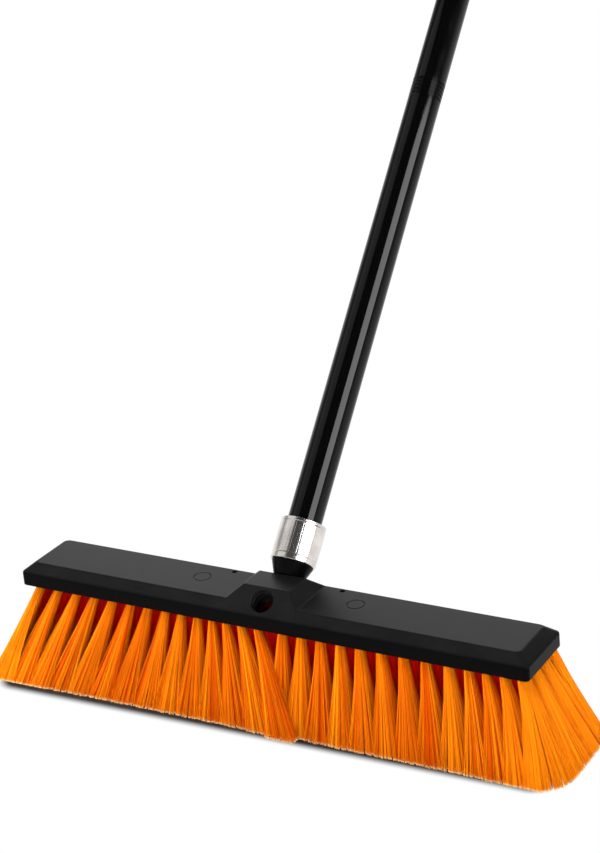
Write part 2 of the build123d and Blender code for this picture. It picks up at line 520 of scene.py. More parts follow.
@dataclass(frozen=True)
class AnchorWire(Finish):
    """Flattened steel wire with drawn lines."""

    base: Colour = (0.56, 0.55, 0.53)
    shade: Colour = (0.448, 0.44, 0.424)
    roughness: float = 0.28
    roughness_change: float = 0.2
    line: float = 3000.0
    line_stretch: Place = (0.1, 1.0, 1.0)

    def paint(self, board: ShaderBoard) -> None:
        """Adds the drawn lines.

        Args:
            board: The material's board.
        """
        lines = board.noise(board.spot(self.line_stretch), self.line, detail=2.0)
        board.surface(
            {
                "Base Color": board.blend(lines, self.base, self.shade),
                "Metallic": 1.0,
                "Roughness": self.roughness + self.roughness_change * lines,
            }
        )


@dataclass(frozen=True)
class FloorPaper(Finish):
    """Plain white sweep with a faint tooth, which is pure white away from what stands on it, and near it seen dark
    as a painted contact shadow over its real shading.
    """

    base: Colour = (0.93, 0.93, 0.93)
    painted_shadow: Colour = (0.06, 0.06, 0.063)
    roughness: float = 0.9
    roughness_change: float = 0.1
    tooth: float = 800.0
    # outline of the painted contact shadow round the bristles' footprint, and where it fades to white
    half_length: float = 243.0 * MM
    half_depth: float = 57.5 * MM
    corner: float = 14.0 * MM
    skew: float = 0.036
    white_levels: Levels = (-3.5 * MM, 7.0 * MM)

    def paint(self, board: ShaderBoard) -> None:
        """Adds the tooth, a dark base that direct sight has of it as a painted contact shadow, and the white glow
        that direct, mirrored and transmitted sight has of it away from the bristles.

        Args:
            board: The material's board.
        """
        spot = board.spot()
        rays = ("Camera", "Glossy", "Transmission")
        camera, mirror, glass = (board.node("ShaderNodeLightPath", output=f"Is {ray} Ray") for ray in rays)
        tooth = board.noise(spot, self.tooth, detail=1.0)
        board.surface(
            {
                # painted shadow: direct sight sees the floor dark, so near the bristles its real shading reads as
                # a deep contact shadow
                "Base Color": board.blend(camera, self.base, self.painted_shadow),
                "Roughness": self.roughness + self.roughness_change * tooth,
                "Specular IOR Level": 0.0,
            }
        )
        # the painted contact shadow ends at this skewed, rounded outline, past which the glow is pure white
        inner = (self.half_length - self.corner, self.half_depth - self.corner, 0.0)
        turned = board.node("ShaderNodeMapping", {}, {"Vector": spot, "Rotation": (0.0, 0.0, -self.skew)})
        past = board.vector("SUBTRACT", board.vector("ABSOLUTE", turned), inner)
        outside = board.vector("MAXIMUM", past, (0.0, 0.0, 0.0))
        away = board.vector("LENGTH", outside, output="Value") - self.corner
        share = (camera + mirror + glass) * board.between(away, *self.white_levels)
        board.cover(share, board.node("ShaderNodeEmission", {}, {"Color": WHITE, "Strength": 1.0}))


# the block's sides below the hip line, 88 mm up, get painted shade
BLOCK_PLASTIC = MouldedPlastic("block_plastic", "block_plastic", painted_shade_below=88.0 * MM)
COUPLING_PLASTIC = MouldedPlastic(
    "coupling_plastic", "coupling_plastic", base=(0.001, 0.001, 0.0011), rubbed=(0.002, 0.002, 0.0022),
    roughness=0.26, specular=0.05, grain=900.0, grain_depth=0.000012,
)
CAP_RUBBER = MouldedPlastic(
    "cap_rubber", "cap_rubber", base=(0.008, 0.008, 0.0085), rubbed=(0.02, 0.02, 0.0205),
    roughness=0.62, roughness_change=0.14, grain=2200.0, grain_depth=0.00006,
)
TUBE_PAINT = GlossPaint("tube_paint", "tube_paint")
COUPLING_GLOSS = GlossPaint("coupling_gloss", "coupling_plastic", roughness=0.07, specular=0.14)
COLLAR_METAL = NickelPlate("collar_metal", "collar_metal")
BRISTLE = BristleFilament("bristle", "bristle")
# painted shade: a darkened copy of the bristle finish for the bristle ends that lie in the spare socket's shade
SHADED_BRISTLE_END = BristleFilament(
    "shaded_bristle_end", "bristle", deep=(0.02, 0.0006, 0.0), bright=(0.12, 0.008, 0.003),
    through=(0.05, 0.001, 0.0),
)
GRIP_FOAM = GripFoam("grip_foam", "grip_foam")
ANCHOR_WIRE = AnchorWire("anchor_wire", "anchor_wire")
FLOOR_PAPER = FloorPaper("floor_paper", "")


class Span(NamedTuple):
    """Where a piece lies along the handle, and its greatest radius."""

    low: float
    high: float
    radius: float


class Corner(NamedTuple):
    """One corner of a turned outline, with how much it is rounded."""

    radius: float
    along: float
    round: float = 0.0


@dataclass(frozen=True)
class TurningLine:
    """A line that pieces are turned about: a point on it and the way that it runs."""

    start: Vector
    along: Vector

    @classmethod
    def of_joint(cls, name: str) -> "TurningLine":
        """The axis of one of the frame's joints."""
        joint = next(joint for joint in frame["joints"] if joint["name"] == name)
        return cls(Vector(joint["pos_m"]), Vector(joint["axis"]).normalized())

    @classmethod
    def of_mount(cls, name: str) -> "TurningLine":
        """The axis of one of the record's mounts."""
        mount = next(mount for mount in frame["record"]["mounts"] if mount["name"] == name)
        return cls(Vector(mount["pos_m"]), Vector(mount["axis"]).normalized())

    def matrix(self) -> Matrix:
        """Works out how a piece turned about +Z at the origin moves to this line.

        Returns:
            The move.
        """
        front = self.along.cross(Vector((1.0, 0.0, 0.0))).normalized()
        side = front.cross(self.along)
        return Matrix.Translation(self.start) @ Matrix((side, front, self.along)).transposed().to_4x4()

    def span(self, node: str) -> Span:
        """Measures a construction node along this line.

        Args:
            node: The node's name.

        Returns:
            Its lowest and highest place along the line, and its greatest radius.
        """
        points = np.array([vertex.co for vertex in frame["nodes"][node].data.vertices])
        offset = points - np.array(self.start)
        along = offset @ np.array(self.along)
        radius = np.linalg.norm(offset - np.outer(along, self.along), axis=1)
        return Span(along.min(), along.max(), radius.max())


def spiral_disc(count: int, crowding: float = 0.5) -> np.ndarray:
    """Spreads points over a round patch of radius 1, each a golden turn on from the one before.

    Args:
        count: How many points.
        crowding: The power of the radius: 0.5 is even, and less crowds the rim.

    Returns:
        Points as (point, 2).
    """
    step = np.arange(count) + 0.5
    turn = step * GOLDEN_TURN
    return ((step / count) ** crowding)[:, None] * np.stack([np.cos(turn), np.sin(turn)], axis=-1)


def soften(corners: Sequence[Corner], loop: bool, steps: int = 5) -> Outline:
    """Rounds the corners of an outline.

    Args:
        corners: The corners in order.
        loop: Whether the last corner joins the first.
        steps: Points on each rounded corner, less one.

    Returns:
        The outline's points as (radius, along) rows.
    """
    places = np.array([(corner.radius, corner.along) for corner in corners])
    points = []
    for index, corner in enumerate(corners):
        here = places[index]
        at_end = not loop and index in (0, len(corners) - 1)
        if corner.round == 0 or at_end:
            points.append(here)
            continue
        back = places[index - 1] - here
        ahead = places[(index + 1) % len(corners)] - here
        room = CORNER_ROOM * min(np.linalg.norm(back), np.linalg.norm(ahead))
        back /= np.linalg.norm(back)
        ahead /= np.linalg.norm(ahead)
        half_angle = math.acos(max(-1.0, min(1.0, float(back @ ahead)))) / 2
        reach = min(corner.round / math.tan(half_angle), room)
        for share in np.linspace(0, 1, steps + 1):
            leave, stay, arrive = (1 - share) ** 2, 2 * share * (1 - share), share**2
            points.append(leave * (here + reach * back) + stay * here + arrive * (here + reach * ahead))
    return np.array(points)


def add_object(name: str, data: bpy.types.ID) -> bpy.types.Object:
    """Adds an object to the scene.

    Args:
        name: Its name.
        data: Its mesh, light or camera.

    Returns:
        The object.
    """
    made = bpy.data.objects.new(name, data)
    bpy.context.scene.collection.objects.link(made)
    return made


def shade_smooth(mesh: bpy.types.Mesh) -> None:
    """Shades a mesh as smooth, apart from its sharp edges."""
    mesh.polygons.foreach_set("use_smooth", [True] * len(mesh.polygons))
    mesh.set_sharp_from_angle(angle=SHARP_ANGLE)


def even_faces(piece: bpy.types.Object) -> bpy.types.Object:
    """Shades a piece's big faces as flat or straight, so that only its small roundings bend the light."""
    piece.modifiers.new("even_faces", "WEIGHTED_NORMAL").keep_sharp = True
    return piece


def close_mesh(name: str, shape: bmesh.types.BMesh) -> bpy.types.Object:
    """Turns a bmesh into a smooth-shaded object in the scene.

    Args:
        name: The object's name.
        shape: The bmesh, which is freed.

    Returns:
        The object.
    """
    bmesh.ops.remove_doubles(shape, verts=shape.verts, dist=MERGE_GAP)
    bmesh.ops.recalc_face_normals(shape, faces=shape.faces)
    mesh = bpy.data.meshes.new(name)
    shape.to_mesh(mesh)
    shape.free()
    shade_smooth(mesh)
    return add_object(name, mesh)


def skin_rings(
    name: str, radii: np.ndarray, heights: np.ndarray, loop: bool, line: TurningLine
) -> bpy.types.Object:
    """Skins rings of points about a line.

    Args:
        name: The object's name.
        radii: Each ring's radius at each step round, as (ring, step).
        heights: Each ring's place along the line.
        loop: Whether the last ring joins the first, as on a sleeve.
        line: The line.

    Returns:
        The object.
    """
    rings, around = radii.shape
    turn = np.arange(around) * FULL_TURN / around
    points = np.stack(
        [radii * np.cos(turn), radii * np.sin(turn), np.repeat(heights[:, None], around, axis=1)], axis=-1
    ).reshape(-1, 3)
    index = np.arange(rings * around).reshape(rings, around)
    lower = index if loop else index[:-1]
    upper = np.roll(index, -1, axis=0) if loop else index[1:]
    quads = np.stack([lower, np.roll(lower, -1, axis=1), np.roll(upper, -1, axis=1), upper], axis=-1)
    place = line.matrix()
    shape = bmesh.new()
    vertices = [shape.verts.new(place @ Vector(point)) for point in points]
    for quad in quads.reshape(-1, 4):
        shape.faces.new([vertices[corner] for corner in quad])
    bmesh.ops.remove_doubles(shape, verts=shape.verts, dist=MERGE_GAP)
    bmesh.ops.dissolve_degenerate(shape, dist=MERGE_GAP, edges=shape.edges)
    return close_mesh(name, shape)


def turn_outline(
    name: str, outline: Outline, loop: bool, line: TurningLine, around: int = AROUND
) -> bpy.types.Object:
    """Turns an outline about a line.

    Args:
        name: The object's name.
        outline: The outline's points as (radius, along) rows.
        loop: Whether the outline is closed, as on a sleeve.
        line: The line.
        around: Steps in a full turn.

    Returns:
        The object.
    """
    return skin_rings(name, np.repeat(outline[:, :1], around, axis=1), outline[:, 1], loop, line)


@dataclass(frozen=True)
class ScrewThread:
    """A coarse right-handed thread with flat crests and roots that fades out at its ends.

    Its ridge and flank widths are shares of half a pitch, and its fade is a share of a pitch.
    """

    root: float
    crest: float
    pitch: float
    low: float
    high: float
    rows_per_pitch: int = 18
    ridge_width: float = 0.78
    flank_width: float = 0.45
    fade: float = 0.5

    def heights(self) -> np.ndarray:
        """Places along the thread, close enough together to show it."""
        count = max(2, round((self.high - self.low) / self.pitch * self.rows_per_pitch))
        return np.linspace(self.low, self.high, count)

    def radii(self, heights: np.ndarray, around: int) -> np.ndarray:
        """The thread's radius.

        Args:
            heights: Places along it.
            around: Steps in a full turn.

        Returns:
            Radii as (place, step).
        """
        turns = np.arange(around) / around
        phase = (heights[:, None] / self.pitch - turns) % 1.0
        ridge = np.clip((self.ridge_width - np.abs(2 * phase - 1)) / self.flank_width, 0, 1)
        ends = np.minimum(heights - self.low, self.high - heights) / (self.fade * self.pitch)
        return self.root + (self.crest - self.root) * ridge * np.clip(ends, 0, 1)[:, None]

    def turn_between(
        self, name: str, before: Outline, after: Outline, line: TurningLine, around: int = AROUND
    ) -> bpy.types.Object:
        """Turns a piece that has this thread in the middle of its outline.

        Args:
            name: The object's name.
            before: The outline's points up to the thread.
            after: Its points on from the thread.
            line: The line that it is turned about.
            around: Steps in a full turn.

        Returns:
            The object.
        """
        downward = before[-1, 1] > after[0, 1]
        heights = self.heights()[:: -1 if downward else 1]
        plain = [np.repeat(part[:, :1], around, axis=1) for part in (before, after)]
        radii = np.concatenate([plain[0], self.radii(heights, around), plain[1]])
        return skin_rings(name, radii, np.concatenate([before[:, 1], heights, after[:, 1]]), False, line)


class SubAssembly(ABC):
    """Pieces that are built and dressed together."""

    @abstractmethod
    def build(self) -> list[bpy.types.Object]:
        """Builds and dresses the pieces, and returns them."""

    @staticmethod
    def dress(piece: bpy.types.Object, finish: Finish, body: str, *nodes: str) -> bpy.types.Object:
        """Gives a piece its finish and its place in the construction.

        Args:
            piece: The piece, in place.
            finish: Its finish.
            body: The body that it moves with.
            nodes: The construction nodes that it stands for.

        Returns:
            The piece.
        """
        piece.data.materials.clear()
        piece.data.materials.append(finish.material())
        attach(piece, body)
        if nodes:
            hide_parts(*nodes)
        return piece


@dataclass
class FilamentBatch:
    """Many thin filaments, each a bent prism, gathered for one mesh."""

    lines: np.ndarray
    tones: np.ndarray
    # each filament's painted shade level, from 0 on the outside of a fan to 1 deep inside
    inner: np.ndarray
    places: np.ndarray
    radius: float
    sides: int = 3

    def points(self, spin: np.ndarray) -> np.ndarray:
        """The prisms' corners.

        Args:
            spin: How far each filament's section is turned.

        Returns:
            Points as (filament, ring, side, 3).
        """
        way = self.lines[:, -1] - self.lines[:, 0]
        way /= np.linalg.norm(way, axis=1, keepdims=True)
        side = np.cross(way, (0.0, 1.0, 0.0))
        side /= np.linalg.norm(side, axis=1, keepdims=True)
        front = np.cross(way, side)
        turn = spin[:, None] + np.arange(self.sides) * FULL_TURN / self.sides
        section = np.cos(turn)[..., None] * side[:, None] + np.sin(turn)[..., None] * front[:, None]
        return self.lines[:, :, None] + self.radius * section[:, None]

    def faces(self) -> tuple[np.ndarray, np.ndarray]:
        """Numbers the corners of one filament's faces.

        Returns:
            The side quads, and the two end faces.
        """
        rings = self.lines.shape[1]
        low = np.arange(rings - 1)[:, None] * self.sides
        high = low + self.sides
        step = np.arange(self.sides)
        after = (step + 1) % self.sides
        quads = np.stack([low + step, low + after, high + after, high + step], axis=-1)
        ends = np.stack([step[::-1], (rings - 1) * self.sides + step])
        return quads.reshape(-1, 4), ends

    def mesh(self, name: str, spin: np.ndarray) -> bpy.types.Object:
        """Builds the mesh, with each strand's tone, its painted shade level for how deep inside it stands and the
        place along it on its points.

        Args:
            name: The object's name.
            spin: How far each filament's section is turned.

        Returns:
            The object.
        """
        points = self.points(spin)
        strands, rings = points.shape[:2]
        quads, ends = self.faces()
        first = np.arange(strands)[:, None, None] * rings * self.sides
        corners = np.concatenate([(first + part).reshape(strands, -1) for part in (quads, ends)], axis=1)
        totals = np.tile([quads.shape[1]] * len(quads) + [self.sides] * len(ends), strands)
        mesh = bpy.data.meshes.new(name)
        mesh.vertices.add(strands * rings * self.sides)
        mesh.vertices.foreach_set("co", points.astype(np.float32).ravel())
        mesh.loops.add(corners.size)
        mesh.loops.foreach_set("vertex_index", corners.astype(np.int32).ravel())
        mesh.polygons.add(len(totals))
        mesh.polygons.foreach_set("loop_start", (np.cumsum(totals) - totals).astype(np.int32))
        mesh.polygons.foreach_set("use_smooth", np.tile([True] * len(quads) + [False] * len(ends), strands))
        mesh.update(calc_edges=True)
        tones = np.repeat(self.tones, rings * self.sides).astype(np.float32)
        # the inner attribute carries each strand's painted shade level to the finish
        inner = np.repeat(self.inner, rings * self.sides).astype(np.float32)
        places = np.repeat(self.places, self.sides, axis=1).ravel().astype(np.float32)
        for label, values in (("tone", tones), ("inner", inner), ("along", places)):
            mesh.attributes.new(label, "FLOAT", "POINT").data.foreach_set("value", values)
        across = (PAINTED_SHADE_LEVELS * inner + tones) / (PAINTED_SHADE_LEVELS + 1)
        strips = np.stack([across, places], axis=-1)[corners.ravel()]
        layer = mesh.uv_layers.new(name="OFBake", do_init=False)
        inset = BAKE_MARGIN + (1 - 2 * BAKE_MARGIN) * strips
        layer.uv.foreach_set("vector", inset.astype(np.float32).ravel())
        return add_object(name, mesh)


@dataclass
class BroomBlock(SubAssembly):
    """The moulded block with its boss, handle sockets, screw holes and moulding marks."""

    handle: TurningLine
    spare: TurningLine
    side_height: float = 12.0 * MM
    bevel_rise: float = 7.0 * MM
    end_bevel_run: float = 9.6 * MM
    boss_rise: float = 9.5 * MM
    boss_base_width: float = 64.0 * MM
    boss_top_width: float = 42.0 * MM
    corner_round: float = 3.8 * MM
    corner_segments: int = 8
    hip_round: float = 2.6 * MM
    hip_segments: int = 6
    edge_round: float = 1.1 * MM
    edge_segments: int = 4
    least_edge_angle: float = math.radians(18)
    socket_radius: float = 9.55 * MM
    socket_depth: float = 15.0 * MM
    socket_chamfer: float = 0.5 * MM
    socket_lip_round: float = 0.4 * MM
    socket_around: int = 128
    thread_crest: float = 8.75 * MM
    thread_pitch: float = 5.08 * MM
    thread_clear: float = 0.02 * MM
    thread_sink: float = 0.3 * MM
    thread_floor_gap: float = 0.5 * MM
    thread_mouth_gap: float = 1.2 * MM
    brace_hole_spacing: float = 99.0 * MM
    brace_hole_back: float = 19.5 * MM
    brace_hole_radius: float = 2.0 * MM
    brace_hole_depth: float = 10.0 * MM
    brace_hole_chamfer: float = 0.3 * MM
    brace_hole_lip_round: float = 0.2 * MM
    brace_hole_around: int = 40
    mark_spacing: float = 140.0 * MM
    mark_back: float = 3.0 * MM
    mark_radius: float = 7.5 * MM
    mark_line: float = 0.9 * MM
    mark_depth: float = 0.5 * MM
    mark_draft: float = 0.1 * MM
    cutter_overrun: float = 6.0 * MM
    root_end_count: int = 150
    root_end_inset: float = 1.0 * MM
    root_end_edge: float = -6.5 * MM
    root_end_rise: tuple[float, float] = (1.2 * MM, 2.6 * MM)
    root_end_lean: float = 0.5 * MM
    root_end_radius: float = 0.32 * MM
    root_end_sides: int = 6
    root_end_tone: float = 0.9
    root_end_places: tuple[float, float] = (0.0, 0.1)
    seed: int = 11

    def build(self) -> list[bpy.types.Object]:
        """Builds the block, the threads in its sockets and the bristle ends at the spare socket's floor.

        Returns:
            The pieces.
        """
        block = self.build_shell()
        self.cut(block, self.build_cutter())
        pieces = [self.dress(even_faces(block), BLOCK_PLASTIC, "head", "broom_block")]
        for name, line in (("handle_socket_thread", self.handle), ("spare_socket_thread", self.spare)):
            pieces.append(self.dress(self.build_thread(name, line), BLOCK_PLASTIC, "head"))
        # the bristle ends deep in the spare socket get a darkened finish as painted shade
        pieces.append(self.dress(self.build_root_ends(), SHADED_BRISTLE_END, "head"))
        return pieces

    def build_shell(self) -> bpy.types.Object:
        """Builds the block as flat faces between level outlines, then rounds its corners and edges.

        Returns:
            The block, with nothing cut out of it.
        """
        low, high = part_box("broom_block")
        slant = self.handle.along.z / self.handle.along.y
        hip = low.z + self.side_height
        top = hip + self.bevel_rise
        crown = top + self.boss_rise
        top_depth = high.y - self.bevel_rise * slant
        crown_depth = high.y - (crown - hip) * slant
        shape = bmesh.new()

        def level(half_length: float, half_depth: float, height: float) -> list[bmesh.types.BMVert]:
            """The four corners of a level outline, from the front left round to the back left."""
            signs = ((-1, -1), (1, -1), (1, 1), (-1, 1))
            return [shape.verts.new((x * half_length, y * half_depth, height)) for x, y in signs]

        foot = level(high.x, high.y, low.z)
        hips = level(high.x, high.y, hip)
        tops = level(high.x - self.end_bevel_run, top_depth, top)
        bases = level(self.boss_base_width / 2, top_depth, top)
        crowns = level(self.boss_top_width / 2, crown_depth, crown)
        shape.faces.new(foot[::-1])
        shape.faces.new(crowns)
        for here, there in ((0, 1), (1, 2), (2, 3), (3, 0)):
            shape.faces.new((foot[here], foot[there], hips[there], hips[here]))
        for here, there in ((0, 1), (2, 3)):
            shape.faces.new(
                (
                    hips[here], hips[there], tops[there], bases[there],
                    crowns[there], crowns[here], bases[here], tops[here],
                )
            )
        for here, there in ((1, 2), (3, 0)):
            for lower, upper in ((hips, tops), (tops, bases), (bases, crowns)):
                shape.faces.new((lower[here], lower[there], upper[there], upper[here]))
        bmesh.ops.recalc_face_normals(shape, faces=shape.faces)
        corners = [shape.edges.get(pair) for pair in (*zip(foot, hips), *zip(hips, tops))]
        self.round_edges(shape, corners, self.corner_round, self.corner_segments)
        hip_line = [
            edge for edge in shape.edges if all(abs(end.co.z - hip) < MERGE_GAP for end in edge.verts)
        ]
        self.round_edges(shape, hip_line, self.hip_round, self.hip_segments)
        edges = [edge for edge in shape.edges if edge.calc_face_angle(0.0) > self.least_edge_angle]
        self.round_edges(shape, edges, self.edge_round, self.edge_segments)
        return close_mesh("broom_block_skin", shape)

    @staticmethod
    def round_edges(
        shape: bmesh.types.BMesh, edges: Sequence[bmesh.types.BMEdge], width: float, segments: int
    ) -> None:
        """Rounds edges of a mesh.

        Args:
            shape: The mesh.
            edges: The edges.
            width: How far the rounding reaches from the edge.
            segments: Faces across it.
        """
        bmesh.ops.bevel(
            shape, geom=list(edges), offset=width, offset_type="OFFSET", affect="EDGES", segments=segments,
            profile=0.5, clamp_overlap=True,
        )

    def drill(self, radius: float, depth: float, chamfer: float, lip_round: float) -> Outline:
        """Outlines a round hole that widens at its mouth.

        Args:
            radius: The hole's radius.
            depth: How deep it is.
            chamfer: How deep the widening starts.
            lip_round: How much the edge of the widening is rounded.

        Returns:
            The outline of what is cut out.
        """
        corners = (
            Corner(0.0, -depth),
            Corner(radius, -depth),
            Corner(radius, -chamfer, lip_round),
            Corner(radius + chamfer + self.cutter_overrun, self.cutter_overrun),
            Corner(0.0, self.cutter_overrun),
        )
        return soften(corners, False)

    def build_cutter(self) -> bpy.types.Object:
        """Builds everything that is cut out of the block, as one object.

        Returns:
            The object.
        """
        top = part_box("broom_block")[0].z + self.side_height + self.bevel_rise
        socket = self.drill(self.socket_radius, self.socket_depth, self.socket_chamfer, self.socket_lip_round)
        hole = self.drill(
            self.brace_hole_radius, self.brace_hole_depth, self.brace_hole_chamfer, self.brace_hole_lip_round
        )
        mark_inside = self.mark_radius - self.mark_line
        mark = np.array(
            [
                (mark_inside, -self.mark_depth),
                (self.mark_radius, -self.mark_depth),
                (self.mark_radius + self.mark_draft, self.cutter_overrun),
                (mark_inside - self.mark_draft, self.cutter_overrun),
            ]
        )
        up = Vector((0.0, 0.0, 1.0))
        sockets = (self.handle, self.spare)
        cutters = [turn_outline("cut", socket, False, line, self.socket_around) for line in sockets]
        for side in (-0.5, 0.5):
            hole_line = TurningLine(Vector((side * self.brace_hole_spacing, self.brace_hole_back, top)), up)
            mark_line = TurningLine(Vector((side * self.mark_spacing, self.mark_back, top)), up)
            cutters.append(turn_outline("cut", hole, False, hole_line, self.brace_hole_around))
            cutters.append(turn_outline("cut", mark, True, mark_line))
        joined = bmesh.new()
        for cutter in cutters:
            joined.from_mesh(cutter.data)
            bpy.data.objects.remove(cutter)
        return close_mesh("cutter", joined)

    @staticmethod
    def cut(block: bpy.types.Object, cutter: bpy.types.Object) -> None:
        """Cuts one object out of another, for good.

        Args:
            block: What is cut.
            cutter: What is cut out, which is removed.
        """
        difference = block.modifiers.new("cut", "BOOLEAN")
        difference.object = cutter
        difference.solver = "EXACT"
        graph = bpy.context.evaluated_depsgraph_get()
        result = bpy.data.meshes.new_from_object(block.evaluated_get(graph))
        block.modifiers.clear()
        block.data = result
        result.name = block.name
        bpy.data.objects.remove(cutter)
        shade_smooth(result)

    def build_thread(self, name: str, line: TurningLine) -> bpy.types.Object:
        """Builds the thread inside a socket as a thin sleeve against its wall.

        Args:
            name: The sleeve's name.
            line: The socket's line, from its mouth outwards.

        Returns:
            The sleeve.
        """
        thread = ScrewThread(
            root=self.socket_radius - self.thread_clear,
            crest=self.thread_crest,
            pitch=self.thread_pitch,
            low=-self.socket_depth + self.thread_floor_gap,
            high=-self.thread_mouth_gap,
        )
        heights = thread.heights()
        inner = thread.radii(heights, AROUND)
        outer = np.full((2, AROUND), self.socket_radius + self.thread_sink)
        ends = np.array([heights[-1], heights[0]])
        return skin_rings(name, np.concatenate([inner, outer]), np.concatenate([heights, ends]), True, line)

    def build_root_ends(self) -> bpy.types.Object:
        """Builds the cut ends of bristles that show at the floor of the spare socket.

        Returns:
            The ends, as one object.
        """
        draw = np.random.default_rng(self.seed)
        spots = (self.socket_radius - self.root_end_inset) * spiral_disc(self.root_end_count)
        spots = spots[spots[:, 0] - spots[:, 1] > self.root_end_edge]
        count = len(spots)
        foot = np.column_stack([spots, np.full(count, -self.socket_depth)])
        rise = draw.uniform(*self.root_end_rise, count)
        lean = draw.normal(0.0, self.root_end_lean, (count, 2))
        tips = foot + np.column_stack([lean, rise])
        place = np.array(self.spare.matrix())
        batch = FilamentBatch(
            lines=np.stack([foot, tips], axis=1) @ place[:3, :3].T + place[:3, 3],
            tones=draw.uniform(0, self.root_end_tone, count),
            inner=np.zeros(count),
            places=np.tile(self.root_end_places, (count, 1)),
            radius=self.root_end_radius,
            sides=self.root_end_sides,
        )
        return batch.mesh("spare_socket_bristle_ends", draw.uniform(0, FULL_TURN, count))


class Fan(Enum):
    """The two fans of bristles, by the way that they run from their meeting."""

    LEFT = -1
    RIGHT = 1


